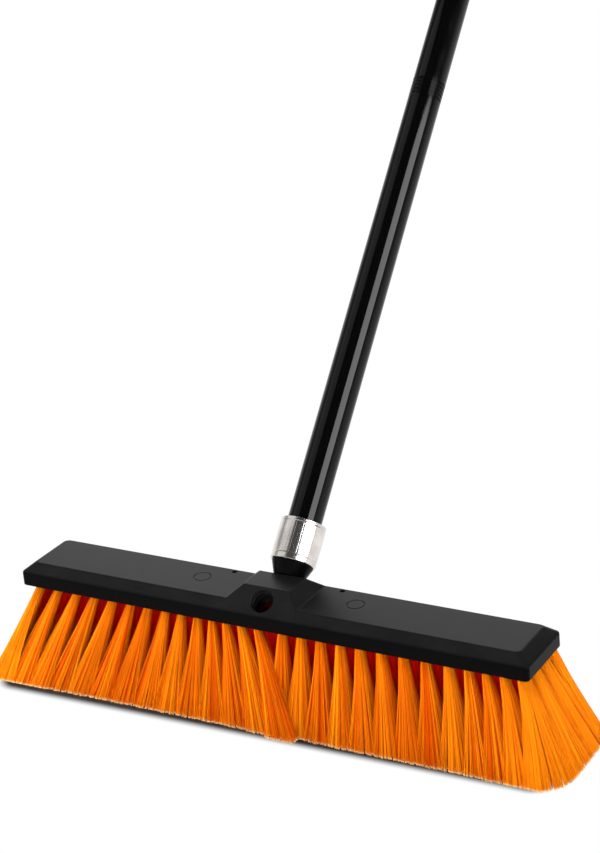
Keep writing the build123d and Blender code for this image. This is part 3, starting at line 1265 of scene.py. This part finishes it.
@dataclass
class BristleFans(SubAssembly):
    """Two fans of tufts: each tuft is a round bundle of filaments that flares to its own patch of floor.

    The tufts' places along the block are in millimetres.
    """

    left_places: tuple[float, ...] = (
        -5.2, -20.3, -34.2, -46.5, -59.8, -74.5, -89.6, -106.3, -122.9, -140.4, -158.1, -175.7, -194.5,
        -212.5,
    )
    right_places: tuple[float, ...] = (
        18.2, 35.1, 52.0, 69.1, 86.1, 104.3, 123.0, 141.7, 160.6, 176.6, 190.8, 205.2, 220.8,
    )
    row_pitch: float = 15.6 * MM
    row_count: int = 4
    fan_meeting: float = 24.0 * MM
    fan_overlap: float = 15.0 * MM
    fan_pass: float = 6.0 * MM
    fan_pass_fade: float = 1.1
    end_flare: float = 35.5 * MM
    end_tuck: float = 0.6
    end_tuck_from: float = 0.975
    front_flare: float = 26.5 * MM
    floor_skew: float = 0.022
    front_round_off: float = 17.0 * MM
    front_squareness: float = 5.5
    back_round_off: float = 26.0 * MM
    back_squareness: float = 3.6
    round_off_power: int = 4
    tuft_radius: float = 3.4 * MM
    tuft_pitch_share: float = 0.195
    inner_pitch_share: float = 0.32
    end_tuft_reach: tuple[float, float] = (3.2 * MM, 6.8 * MM)
    tip_half_width: float = 0.68
    tip_half_depth: float = 0.47
    tip_squareness: float = 0.8
    end_fill: float = 0.5
    end_fill_power: int = 8
    filaments: int = 600
    crowding: float = 0.4
    filament_radius: float = 0.27 * MM
    rings: int = 4
    root_sink: float = 1.5 * MM
    clumps: int = 64
    clump_scatter: float = 0.06
    clump_pull: float = 0.24
    spread_power: float = 1.3
    jitter: float = 0.15 * MM
    bow: float = 0.08 * MM
    ragged: float = 0.2 * MM
    tone: float = 0.7
    tone_limits: tuple[float, float] = (0.02, 0.98)
    tuft_change: float = 0.06
    clump_change: float = 0.19
    own_change: float = 0.11
    # painted shade: filaments near the line between two clumps get a deeper tone, as if in the gap's shade
    clump_gap_shade_width: float = 0.06
    clump_gap_shade: float = 0.6
    # painted light: the end tufts' strands get a brighter tone, as the lit ends of the fans show
    end_painted_light: float = 0.16
    end_change: float = 0.45
    shaded_back: float = 0.75
    shaded_back_from: float = 0.5
    end_shade_middle: float = 0.5
    end_shade_width: float = 0.6
    seed: int = 29

    def build(self) -> list[bpy.types.Object]:
        """Builds one mesh for each row of each fan.

        Returns:
            The rows.
        """
        pieces = []
        for fan in Fan:
            node = f"bristles_{fan.name.lower()}"
            for row in range(self.row_count):
                draw = np.random.default_rng([self.seed, row, fan.value + 1])
                batch = self.build_row(fan, row, draw)
                piece = batch.mesh(f"{node}_row_{row + 1}", draw.uniform(0, FULL_TURN, len(batch.lines)))
                pieces.append(self.dress(piece, BRISTLE, "head", node))
        return pieces

    def is_outer(self, row: int) -> bool:
        """Whether a row is the front one or the back one."""
        return row in (0, self.row_count - 1)

    def columns(self, fan: Fan, row: int) -> np.ndarray:
        """Places along X of one row's tufts, from the split outwards.

        Args:
            fan: The fan.
            row: The row, counted from the front.

        Returns:
            The front rows' places as the photograph shows them. The back rows stand between those, so no gap
            is open from front to back.
        """
        places = np.array(self.left_places if fan is Fan.LEFT else self.right_places) * MM
        if row < self.row_count // 2:
            return places
        between = (places[1:] + places[:-1]) / 2
        return np.concatenate([[2 * places[0] - between[0]], between, places[-1:]])

    def floor_place(self, fan: Fan, column_share: np.ndarray, row_share: np.ndarray) -> np.ndarray:
        """Where a filament meets the floor.

        Args:
            fan: Its fan.
            column_share: From 0 where the fan begins to 1 at the block's end.
            row_share: From -1 at the front to 1 at the back.

        Returns:
            Points as (filament, 2).
        """
        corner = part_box("broom_block")[1]
        begin = self.fan_meeting - fan.value * self.fan_overlap
        reach = corner.x + self.end_flare - fan.value * begin
        share = column_share - self.end_tuck * np.maximum(column_share - self.end_tuck_from, 0)
        row_share = np.clip(row_share, -1, 1)
        front = self.front_round_off * np.maximum(-row_share, 0) ** self.front_squareness
        back = self.back_round_off * np.maximum(row_share, 0) ** self.back_squareness
        endward = np.clip(share, 0, 1) ** self.round_off_power
        x = begin + fan.value * (reach * share - (front + back) * endward)
        y = row_share * (corner.y + self.front_flare) + self.floor_skew * x
        return np.stack([x, y], axis=-1)

    def build_row(self, fan: Fan, row: int, draw: np.random.Generator) -> FilamentBatch:
        """Lays out the filaments of one row of tufts.

        Args:
            fan: The fan.
            row: The row, counted from the front.
            draw: The source of chance.

        Returns:
            The filaments.
        """
        columns = self.columns(fan, row)
        turned = self.turn_tufts(len(columns), draw)
        clump, painted_gap_shade, gathered = self.gather(turned, draw)
        tips, middles = self.land(fan, row, gathered, draw)
        roots, root_middles = self.plant(row, columns, turned)
        lean = (middles - root_middles)[:, None, None]
        spread = (tips - middles[:, None] - (roots - root_middles[:, None]))[:, :, None]
        share = np.linspace(0, 1, self.rings)[:, None]
        bow = draw.normal(0, self.bow, (*tips.shape[:2], 1, 2)) * np.sin(math.pi * share)
        level = roots[:, :, None] + lean * share + spread * share**self.spread_power + bow
        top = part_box("broom_block")[0].z + self.root_sink
        tip_height = draw.uniform(0, self.ragged, tips.shape[:2]) ** 2 / self.ragged
        height = top + (tip_height[..., None] - top) * share[:, 0]
        lines = np.concatenate([level, height[..., None]], axis=-1).reshape(-1, self.rings, 3)
        return FilamentBatch(
            lines=lines,
            tones=self.strand_tones(clump, painted_gap_shade, draw).ravel(),
            inner=self.painted_shade_depth(fan, row, turned).ravel(),
            places=np.tile(share[:, 0], (len(lines), 1)),
            radius=self.filament_radius,
        )

    def turn_tufts(self, tufts: int, draw: np.random.Generator) -> np.ndarray:
        """Turns each round tuft by chance, so that no two look alike.

        Args:
            tufts: How many tufts.
            draw: The source of chance.

        Returns:
            Each filament's place in its round tuft, as (tuft, filament, 2).
        """
        disc = spiral_disc(self.filaments, self.crowding)
        spin = draw.uniform(0, FULL_TURN, tufts)
        return np.stack(
            [
                np.outer(np.cos(spin), disc[:, 0]) - np.outer(np.sin(spin), disc[:, 1]),
                np.outer(np.sin(spin), disc[:, 0]) + np.outer(np.cos(spin), disc[:, 1]),
            ],
            axis=-1,
        )

    def land(
        self, fan: Fan, row: int, gathered: np.ndarray, draw: np.random.Generator
    ) -> tuple[np.ndarray, np.ndarray]:
        """Places the tips of one row, each tuft on its own squarish patch of floor.

        Args:
            fan: The fan.
            row: The row, counted from the front.
            gathered: Each filament's place in its tuft once drawn into a clump, as (tuft, filament, 2).
            draw: The source of chance.

        Returns:
            The tips as (tuft, filament, 2), and the patches' middles as (tuft, 2).
        """
        tufts = len(gathered)
        farther = np.abs(gathered).max(axis=-1, keepdims=True)
        stretch = np.linalg.norm(gathered, axis=-1, keepdims=True) / farther
        squared = gathered * (1 + self.tip_squareness * (stretch - 1))
        column = np.arange(tufts)[:, None]
        row_middle = (2 * row + 1) / self.row_count - 1
        half_depth = self.tip_half_depth * (1 + self.end_fill * ((column + 1) / tufts) ** self.end_fill_power)
        tips = self.floor_place(
            fan,
            (column + 0.5 + fan.value * self.tip_half_width * squared[..., 0]) / tufts,
            row_middle + 2 / self.row_count * half_depth * squared[..., 1],
        )
        middles = self.floor_place(fan, (column[:, 0] + 0.5) / tufts, np.full(tufts, row_middle))
        passing = fan.value * self.fan_pass * np.exp(-np.arange(tufts) * self.fan_pass_fade)
        tips[..., 1] += passing[:, None]
        middles[:, 1] += passing
        tips += draw.normal(0, self.jitter, tips.shape)
        return tips, middles

    def plant(self, row: int, columns: np.ndarray, turned: np.ndarray) -> tuple[np.ndarray, np.ndarray]:
        """Places the roots of one row, each tuft in its own round hole.

        Args:
            row: The row, counted from the front.
            columns: The tufts' places along X.
            turned: Each filament's place in its round tuft, as (tuft, filament, 2).

        Returns:
            The roots as (tuft, filament, 2), and the holes' middles as (tuft, 2).
        """
        root_row = (row - (self.row_count - 1) / 2) * self.row_pitch
        middles = np.stack([columns, np.full(len(columns), root_row)], axis=-1)
        pitches = np.abs(np.gradient(columns))
        radii = self.inner_pitch_share * pitches
        if self.is_outer(row):
            radii = np.minimum(self.tuft_radius, self.tuft_pitch_share * pitches)
        reach = np.tile(radii[:, None, None], (1, 1, 2))
        reach[-1, 0] = self.end_tuft_reach
        return middles[:, None] + reach * turned, middles

    def strand_tones(self, clump: np.ndarray, painted_gap_shade: np.ndarray, draw: np.random.Generator) -> np.ndarray:
        """Gives each filament a tone of its tuft, of its clump and of its own, deeper near the line between two
        clumps as painted shade, and brighter in the end tufts as painted light.

        Args:
            clump: Each filament's clump, as (tuft, filament).
            painted_gap_shade: How near it is to the line between two clumps.
            draw: The source of chance.

        Returns:
            Tones from 0, deep, to 1, bright, as (tuft, filament).
        """
        tuft_tone = draw.normal(0, self.tuft_change, (len(clump), 1))
        clump_tone = draw.normal(0, self.clump_change, (len(clump), self.clumps))
        own_tone = draw.normal(0, self.own_change, clump.shape)
        # painted shade: a deeper tone near the line between two clumps
        change = tuft_tone + np.take_along_axis(clump_tone, clump, axis=1) - self.clump_gap_shade * painted_gap_shade
        # painted light: a brighter tone for the end tufts, with less change between their strands
        change[-1] = self.end_painted_light + self.end_change * change[-1]
        return np.clip(self.tone + change + own_tone, *self.tone_limits)

    def painted_shade_depth(self, fan: Fan, row: int, turned: np.ndarray) -> np.ndarray:
        """How much painted shade each filament gets for how far inside the fan it stands, in a few even levels.

        Args:
            fan: The fan.
            row: The row, counted from the front.
            turned: Each filament's place in its round tuft, as (tuft, filament, 2).

        Returns:
            From 0 on the outside to 1 in the middle rows, as (tuft, filament).
        """
        inner = np.ones(turned.shape[:2])
        if self.is_outer(row):
            inward = 1.0 if row == 0 else -1.0
            # painted shade on the inward half of each tuft in the front and back rows
            inner = self.shaded_back * np.clip(inward * turned[..., 1] / self.shaded_back_from, 0, 1)
        # each end tuft keeps its painted shade only on its inward side
        endward = fan.value * turned[-1, :, 0] / self.end_shade_width
        inner[-1] *= np.clip(self.end_shade_middle - endward, 0, 1)
        return np.round(PAINTED_SHADE_LEVELS * inner) / PAINTED_SHADE_LEVELS

    def gather(
        self, turned: np.ndarray, draw: np.random.Generator
    ) -> tuple[np.ndarray, np.ndarray, np.ndarray]:
        """Draws the filaments of each tuft together into clumps.

        Args:
            turned: Each filament's place in its round tuft, as (tuft, filament, 2).
            draw: The source of chance.

        Returns:
            Each filament's clump, how near it is to the line between two clumps, and its place once drawn in.
        """
        scatter = draw.normal(0, self.clump_scatter, (len(turned), self.clumps, 2))
        middles = spiral_disc(self.clumps) + scatter
        away = np.linalg.norm(turned[:, :, None] - middles[:, None], axis=-1)
        clump = away.argmin(axis=2)
        first, second = np.moveaxis(np.partition(away, 1, axis=2)[..., :2], 2, 0)
        painted_gap_shade = np.clip(1 - (second - first) / self.clump_gap_shade_width, 0, 1)
        nearest = np.take_along_axis(middles, clump[..., None], axis=1)
        return clump, painted_gap_shade, turned + self.clump_pull * (nearest - turned)


@dataclass
class HandleFoot(SubAssembly):
    """The threaded tip with its cone, and the ribbed metal collar above it."""

    line: TurningLine
    thread_crest: float = 8.6 * MM
    thread_root: float = 7.7 * MM
    thread_pitch: float = 5.08 * MM
    thread_lead: float = 1.0 * MM
    thread_stop: float = 0.6 * MM
    neck_root_radius: float = 12.5 * MM
    neck_length: float = 12.0 * MM
    neck_rim: float = 0.8 * MM
    neck_rim_round: float = 0.6 * MM
    seat_gap: float = 0.3 * MM
    spigot_inset: float = 0.65 * MM
    end_round: float = 0.8 * MM
    edge_round: float = 0.3 * MM
    bore_round: float = 0.2 * MM
    collar_bore: float = 14.03 * MM
    rib_count: int = 36
    rib_depth: float = 0.06 * MM
    rib_groove: float = 0.22
    rib_slope: float = 0.7 * MM
    rib_end_gap: float = 0.1 * MM
    steps_per_rib: int = 20
    top_rim: float = 3.0 * MM
    bottom_rim: float = 5.0 * MM
    rim_groove: float = 0.35 * MM
    rim_groove_width: float = 0.5 * MM
    rim_groove_floor: float = 0.2 * MM
    rim_chamfer: float = 0.8 * MM

    def build(self) -> list[bpy.types.Object]:
        """Builds the tip and the collar."""
        return [
            self.dress(self.build_tip(), COUPLING_PLASTIC, "tip", "threaded_tip"),
            self.dress(even_faces(self.build_collar()), COLLAR_METAL, "section_1", "knurled_collar"),
        ]

    def build_tip(self) -> bpy.types.Object:
        """Builds the thread, the cone and the spigot as one turned piece.

        Returns:
            The tip.
        """
        low, high, radius = self.line.span("threaded_tip")
        spigot = self.line.span("tube_1").radius - self.spigot_inset
        thread = ScrewThread(
            root=self.thread_root,
            crest=self.thread_crest,
            pitch=self.thread_pitch,
            low=low + self.thread_lead,
            high=-self.thread_stop,
        )
        below = [
            Corner(0.0, low),
            Corner(self.thread_root, low, self.end_round),
            Corner(self.thread_root, thread.low),
        ]
        above = [
            Corner(self.thread_root, self.seat_gap),
            Corner(self.neck_root_radius, self.seat_gap, self.end_round),
            Corner(radius, self.neck_length - self.neck_rim, self.neck_rim_round),
            Corner(radius, self.neck_length, self.edge_round),
            Corner(spigot, self.neck_length, self.bore_round),
            Corner(spigot, high, self.end_round),
            Corner(0.0, high),
        ]
        return thread.turn_between("threaded_tip_skin", soften(below, False), soften(above, False), self.line)

    def build_collar(self) -> bpy.types.Object:
        """Builds the collar: two smooth rims, with fine ribs between them that run out at both ends.

        Returns:
            The collar.
        """
        around = self.rib_count * self.steps_per_rib
        low, high, radius = self.line.span("knurled_collar")
        ribs_low = low + self.bottom_rim
        ribs_high = high - self.top_rim
        sunk = radius - self.rim_groove
        outline = soften(
            [
                Corner(self.collar_bore, low, self.bore_round),
                Corner(radius, low, self.rim_chamfer),
                Corner(radius, ribs_low - self.rim_groove_width, self.edge_round),
                Corner(sunk, ribs_low - self.rim_groove_floor),
                Corner(sunk, ribs_low),
                Corner(radius, ribs_low + self.rib_slope),
                Corner(radius, ribs_high - self.rib_slope),
                Corner(sunk, ribs_high),
                Corner(sunk, ribs_high + self.rim_groove_floor),
                Corner(radius, ribs_high + self.rim_groove_width, self.edge_round),
                Corner(radius, high, self.rim_chamfer),
                Corner(self.collar_bore, high, self.bore_round),
            ],
            True,
        )
        wave = np.abs(2 * ((np.arange(around) / self.steps_per_rib) % 1.0) - 1)
        valley = self.rib_depth * np.clip((wave - 1) / self.rib_groove + 1, 0, 1)
        along = outline[:, 1]
        ribbed = (along > ribs_low + self.rib_end_gap) & (along < ribs_high - self.rib_end_gap)
        radii = outline[:, :1] - np.outer(ribbed, valley)
        return skin_rings("knurled_collar_skin", radii, along, True, self.line)


@dataclass
class HandleSections(SubAssembly):
    """The four tubes and the grooved, screwed couplings between them."""

    line: TurningLine
    tube_count: int = 4
    tube_wall: float = 0.6 * MM
    tube_end_round: float = 0.3 * MM
    groove_count: int = 5
    groove_pitch: float = 3.4 * MM
    groove_first: float = 1.25 * MM
    groove_depth: float = 1.2 * MM
    groove_half_width: float = 0.6 * MM
    groove_wall_slope: float = 0.1 * MM
    groove_floor_round: float = 0.2 * MM
    groove_steps: int = 3
    land_round: float = 0.5 * MM
    band_round: float = 0.25 * MM
    plug_gap: float = 0.03 * MM
    end_round: float = 0.8 * MM
    edge_round: float = 0.3 * MM
    bore_root: float = 8.05 * MM
    bore_crest: float = 7.45 * MM
    bore_entry: float = 0.8 * MM
    bore_thread_stop: float = 1.0 * MM
    bore_thread_lead: float = 0.5 * MM
    stud_crest: float = 7.3 * MM
    stud_root: float = 6.5 * MM
    stud_tip_round: float = 0.6 * MM
    stud_thread_lead: float = 0.8 * MM
    stud_thread_stop: float = 0.4 * MM
    thread_pitch: float = 4.0 * MM
    thread_length: float = 24.0 * MM
    thread_end_gap: float = 2.0 * MM
    around: int = 128

    def build(self) -> list[bpy.types.Object]:
        """Builds the tubes, then each coupling's two halves.

        Returns:
            The pieces.
        """
        pieces = []
        for number in range(1, self.tube_count + 1):
            tube = self.build_tube(f"tube_{number}")
            pieces.append(self.dress(even_faces(tube), TUBE_PAINT, f"section_{number}", f"tube_{number}"))
        for number in range(1, self.tube_count):
            nut = self.build_nut(number)
            pieces.append(self.dress(nut, COUPLING_GLOSS, f"section_{number}", f"joint_nut_{number}"))
            stud = self.build_stud(number)
            pieces.append(self.dress(stud, COUPLING_PLASTIC, f"stud_{number}", f"joint_stud_{number}"))
        return pieces

    def build_tube(self, node: str) -> bpy.types.Object:
        """Builds one tube with rounded ends.

        Args:
            node: The construction node that it stands for.

        Returns:
            The tube.
        """
        low, high, radius = self.line.span(node)
        bore = radius - self.tube_wall
        corners = [
            Corner(bore, low),
            Corner(radius, low, self.tube_end_round),
            Corner(radius, high, self.tube_end_round),
            Corner(bore, high),
        ]
        return turn_outline(f"{node}_skin", soften(corners, True), True, self.line, self.around)

    def groove_middles(self, low: float, high: float) -> list[float]:
        """Places of a band's grooves: one set, or one set at each end of a long band.

        Args:
            low: The band's lower end.
            high: The band's upper end.

        Returns:
            The places along the handle, in order.
        """
        offsets = [self.groove_first + index * self.groove_pitch for index in range(self.groove_count)]
        near = [low + offset for offset in offsets]
        if high - low < 2 * offsets[-1]:
            return near
        return near + [high - offset for offset in reversed(offsets)]

    def build_nut(self, number: int) -> bpy.types.Object:
        """Builds a grooved band with its plug in the tube below and the thread in its bore.

        Args:
            number: The joint, counted from the foot.

        Returns:
            The coupling.
        """
        plug_low, high, radius = self.line.span(f"joint_nut_{number}")
        low = self.line.span(f"tube_{number}").high
        plug_radius = radius - self.tube_wall - self.plug_gap
        bore_low = high - self.thread_length - self.thread_end_gap
        floor_radius = radius - self.groove_depth
        floor_half_width = self.groove_half_width - self.groove_wall_slope
        corners = [
            Corner(0.0, plug_low),
            Corner(plug_radius, plug_low, self.end_round),
            Corner(plug_radius, low),
            Corner(radius, low, self.band_round),
        ]
        for middle in self.groove_middles(low, high):
            corners += [
                Corner(radius, middle - self.groove_half_width, self.land_round),
                Corner(floor_radius, middle - floor_half_width, self.groove_floor_round),
                Corner(floor_radius, middle + floor_half_width, self.groove_floor_round),
                Corner(radius, middle + self.groove_half_width, self.land_round),
            ]
        corners += [
            Corner(radius, high, self.band_round),
            Corner(self.bore_root, high, self.edge_round),
            Corner(self.bore_root, high - self.bore_entry),
        ]
        thread = ScrewThread(
            root=self.bore_root,
            crest=self.bore_crest,
            pitch=self.thread_pitch,
            low=bore_low + self.bore_thread_lead,
            high=high - self.bore_thread_stop,
        )
        outside = soften(corners, False, self.groove_steps)
        floor = np.array([(self.bore_root, bore_low), (0.0, bore_low)])
        return thread.turn_between(f"joint_nut_{number}_skin", outside, floor, self.line, self.around)

    def build_stud(self, number: int) -> bpy.types.Object:
        """Builds a threaded stud with its spigot in the tube above.

        Args:
            number: The joint, counted from the foot.

        Returns:
            The stud.
        """
        low, high, radius = self.line.span(f"joint_stud_{number}")
        shoulder = low + self.thread_length
        thread = ScrewThread(
            root=self.stud_root,
            crest=self.stud_crest,
            pitch=self.thread_pitch,
            low=low + self.stud_thread_lead,
            high=shoulder - self.stud_thread_stop,
        )
        below = [
            Corner(0.0, low),
            Corner(self.stud_root, low, self.stud_tip_round),
            Corner(self.stud_root, thread.low),
        ]
        above = [
            Corner(self.stud_root, shoulder),
            Corner(radius, shoulder, self.edge_round),
            Corner(radius, high, self.end_round),
            Corner(0.0, high),
        ]
        return thread.turn_between(
            f"joint_stud_{number}_skin", soften(below, False), soften(above, False), self.line
        )


@dataclass
class HandleTop(SubAssembly):
    """The soft hand grip and the closed end cap."""

    line: TurningLine
    bore: float = 14.03 * MM
    grip_end_round: float = 5.0 * MM
    grip_bore_round: float = 0.5 * MM
    grip_round_steps: int = 8
    grip_rings: int = 60
    grip_unevenness: float = 0.12 * MM
    grip_waves: tuple[tuple[int, float], ...] = ((3, 55.0), (2, -130.0), (5, 210.0))
    grip_fill: float = 0.95
    cap_radius: float = 15.5 * MM
    cap_rim_length: float = 6.0 * MM
    cap_rim_slope: float = 4.0 * MM
    cap_end_wall: float = 4.0 * MM
    cap_mouth_round: float = 0.4 * MM
    cap_rim_low_round: float = 1.2 * MM
    cap_rim_high_round: float = 1.5 * MM
    cap_slope_round: float = 2.5 * MM
    cap_dome_round: float = 11.0 * MM
    cap_round_steps: int = 12

    def build(self) -> list[bpy.types.Object]:
        """Builds the grip and the cap.

        Returns:
            Both pieces.
        """
        grip = self.dress(self.build_grip(), GRIP_FOAM, "section_3", "foam_grip")
        cap = self.dress(self.build_cap(), CAP_RUBBER, "section_4", "end_cap")
        return [grip, cap]

    def build_grip(self) -> bpy.types.Object:
        """Builds the foam sleeve, a little uneven as foam is.

        Returns:
            The grip.
        """
        low, high, radius = self.line.span("foam_grip")
        corners = [
            Corner(self.bore, low, self.grip_bore_round),
            Corner(radius, low, self.grip_end_round),
            Corner(radius, high, self.grip_end_round),
            Corner(self.bore, high, self.grip_bore_round),
        ]
        ends = soften(corners, True, self.grip_round_steps)
        half = len(ends) // 2
        between = np.linspace(ends[half - 1, 1], ends[half, 1], self.grip_rings)[1:-1]
        middle = np.stack([np.full(len(between), radius), between], axis=-1)
        outline = np.concatenate([ends[:half], middle, ends[half:]])
        turn = np.arange(AROUND) * FULL_TURN / AROUND
        waves = sum(np.sin(count * turn + rise * outline[:, 1:]) for count, rise in self.grip_waves)
        outside = np.clip((outline[:, :1] - self.bore) / (radius - self.bore), 0, 1)
        radii = outline[:, :1] - self.grip_unevenness * outside * (1 + waves / len(self.grip_waves))
        return skin_rings("foam_grip_skin", radii, outline[:, 1], True, self.line)

    def build_cap(self) -> bpy.types.Object:
        """Builds the cap with its thick rim and rounded end.

        Returns:
            The cap.
        """
        low, high, rim_radius = self.line.span("end_cap")
        rim_high = low + self.cap_rim_length
        corners = [
            Corner(0.0, high - self.cap_end_wall),
            Corner(self.bore, high - self.cap_end_wall),
            Corner(self.bore, low, self.cap_mouth_round),
            Corner(rim_radius, low, self.cap_rim_low_round),
            Corner(rim_radius, rim_high, self.cap_rim_high_round),
            Corner(self.cap_radius, rim_high + self.cap_rim_slope, self.cap_slope_round),
            Corner(self.cap_radius, high, self.cap_dome_round),
            Corner(0.0, high),
        ]
        return turn_outline("end_cap_skin", soften(corners, False, self.cap_round_steps), False, self.line)


@dataclass
class TuftAnchors(SubAssembly):
    """The wire anchors inside the block, which keep their constructed shape."""

    nodes: tuple[str, str] = ("tuft_anchors_left", "tuft_anchors_right")

    def build(self) -> list[bpy.types.Object]:
        """Gives the anchors their finish.

        Returns:
            The anchors.
        """
        anchors = [frame["nodes"][node] for node in self.nodes]
        for anchor in anchors:
            anchor.data.materials.clear()
            anchor.data.materials.append(ANCHOR_WIRE.material())
        return anchors


@dataclass(frozen=True)
class Softbox:
    """A square or oblong studio light that faces a point."""

    name: str
    place: Place
    aim: Place
    width: float
    height: float
    brightness: float
    roll: float = 0.0
    mirrored: bool = True
    lights_surfaces: bool = True

    def light(self) -> None:
        """Adds the light, with its power worked out from its brightness and area."""
        lamp = bpy.data.lights.new(self.name, "AREA")
        lamp.shape = "RECTANGLE"
        lamp.size = self.width
        lamp.size_y = self.height
        lamp.energy = math.pi * self.width * self.height * self.brightness
        made = add_object(self.name, lamp)
        turn = (Vector(self.aim) - Vector(self.place)).to_track_quat("-Z", "Y").to_matrix()
        roll = Matrix.Rotation(math.radians(self.roll), 3, "Z")
        made.matrix_world = Matrix.Translation(self.place) @ (turn @ roll).to_4x4()
        made.visible_camera = False
        made.visible_glossy = self.mirrored
        made.visible_diffuse = self.lights_surfaces


@dataclass
class Studio:
    """The floor, the lights, the surroundings and the camera."""

    floor_size: float = 80.0
    floor_drop: float = 2.5 * MM
    camera_place: Place = (0.7714, -1.2042, 0.8060)
    camera_azimuth: float = math.radians(31.417)
    camera_elevation: float = math.radians(21.850)
    camera_roll: float = math.radians(-5.048)
    camera_lens: float = 85.375
    camera_sight: float = 200.0
    sensor: float = 36.0
    surround: tuple[tuple[float, float], ...] = (
        (0.0, 1.0), (0.08, 0.8), (0.25, 0.35), (0.5, 0.13), (0.62, 0.05), (1.0, 0.05),
    )
    lights: tuple[Softbox, ...] = (
        Softbox(
            "top_softbox", place=(-2.4, 2.0, 7.4), aim=(0.0, 0.0, 0.0),
            width=5.2, height=5.2, brightness=2.4, mirrored=False,
        ),
        Softbox(
            "front_softbox", place=(-1.1, -2.7, 1.0), aim=(0.0, 0.0, 0.05),
            width=4.4, height=1.2, brightness=5.7, mirrored=False,
        ),
        Softbox(
            "fill_softbox", place=(1.5, -2.5, 1.05), aim=(0.0, 0.0, 0.05),
            width=1.4, height=1.2, brightness=5.2, mirrored=False,
        ),
        Softbox(
            "end_softbox", place=(2.6, 0.1, 0.9), aim=(0.2, 0.0, 0.05),
            width=1.2, height=1.2, brightness=13.5, mirrored=False,
        ),
        Softbox(
            "rim_softbox", place=(-2.6, -0.25, 0.5), aim=(-0.2, 0.0, 0.05),
            width=1.2, height=1.0, brightness=28.0, mirrored=False,
        ),
        Softbox(
            "left_card", place=(-2.64, -1.18, 2.95), aim=(0.0, 0.18, 0.275),
            width=3.4, height=2.2, brightness=0.77, roll=38.0, lights_surfaces=False,
        ),
        Softbox(
            "back_card", place=(-1.2, 3.2, 1.8), aim=(0.0, 0.0, 0.1),
            width=3.4, height=2.4, brightness=2.7,
        ),
        Softbox(
            "streak_card", place=(3.196, -0.367, 2.191), aim=(0.0, 0.18, 0.275),
            width=2.6, height=1.43, brightness=9.5, roll=-42.0, lights_surfaces=False,
        ),
    )

    def build(self) -> None:
        """Sets the stage."""
        bpy.context.scene.view_settings.view_transform = "Standard"
        self.lay_floor()
        self.surround_with_light()
        for softbox in self.lights:
            softbox.light()
        self.set_camera()

    def lay_floor(self) -> None:
        """Lays the floor just under the bristle tips."""
        shape = bmesh.new()
        bmesh.ops.create_grid(shape, x_segments=1, y_segments=1, size=self.floor_size / 2)
        mesh = bpy.data.meshes.new("floor")
        shape.to_mesh(mesh)
        shape.free()
        mesh.materials.append(FLOOR_PAPER.material())
        floor = add_object("floor", mesh)
        floor.location.z = -self.floor_drop

    def surround_with_light(self) -> None:
        """Surrounds the stage with a white horizon that darkens towards a dim ceiling."""
        world = bpy.data.worlds.new("surround")
        bpy.context.scene.world = world
        world.use_nodes = True
        board = ShaderBoard(world.node_tree)
        height = board.height(board.node("ShaderNodeTexCoord", output="Generated"))
        stops = [(place, (level, level, level)) for place, level in self.surround]
        glow = board.node("ShaderNodeValToRGB", {"stops": stops}, {"Fac": height})
        board.feed(board.first("BACKGROUND").inputs["Color"], glow)

    def set_camera(self) -> None:
        """Sets the camera at the photograph's place, turn and lens."""
        azimuth, elevation, roll = self.camera_azimuth, self.camera_elevation, self.camera_roll
        back = Vector(
            (
                math.sin(azimuth) * math.cos(elevation),
                -math.cos(azimuth) * math.cos(elevation),
                math.sin(elevation),
            )
        )
        right = Vector((math.cos(azimuth), math.sin(azimuth), 0.0))
        up = back.cross(right)
        turned_right = math.cos(roll) * right + math.sin(roll) * up
        turned_up = math.cos(roll) * up - math.sin(roll) * right
        data = bpy.data.cameras.new("photo_camera")
        data.lens = self.camera_lens
        data.sensor_width = self.sensor
        data.clip_end = self.camera_sight
        camera = add_object("photo_camera", data)
        turn = Matrix((turned_right, turned_up, back)).transposed().to_4x4()
        camera.matrix_world = Matrix.Translation(self.camera_place) @ turn
        bpy.context.scene.camera = camera


def main() -> None:
    """Builds the broom's sub-assemblies in order, then the studio round it."""
    logging.basicConfig(level=logging.INFO, format="%(name)s: %(message)s")
    handle = TurningLine.of_joint("handle_turn")
    spare = TurningLine.of_mount("front_socket")
    assemblies = [
        BroomBlock(handle, spare),
        TuftAnchors(),
        BristleFans(),
        HandleFoot(handle),
        HandleSections(handle),
        HandleTop(handle),
    ]
    for assembly in assemblies:
        for piece in assembly.build():
            LOG.info("%s: %s with %d faces", type(assembly).__name__, piece.name, len(piece.data.polygons))
    Studio().build()


if __name__ == "__main__":
    main()
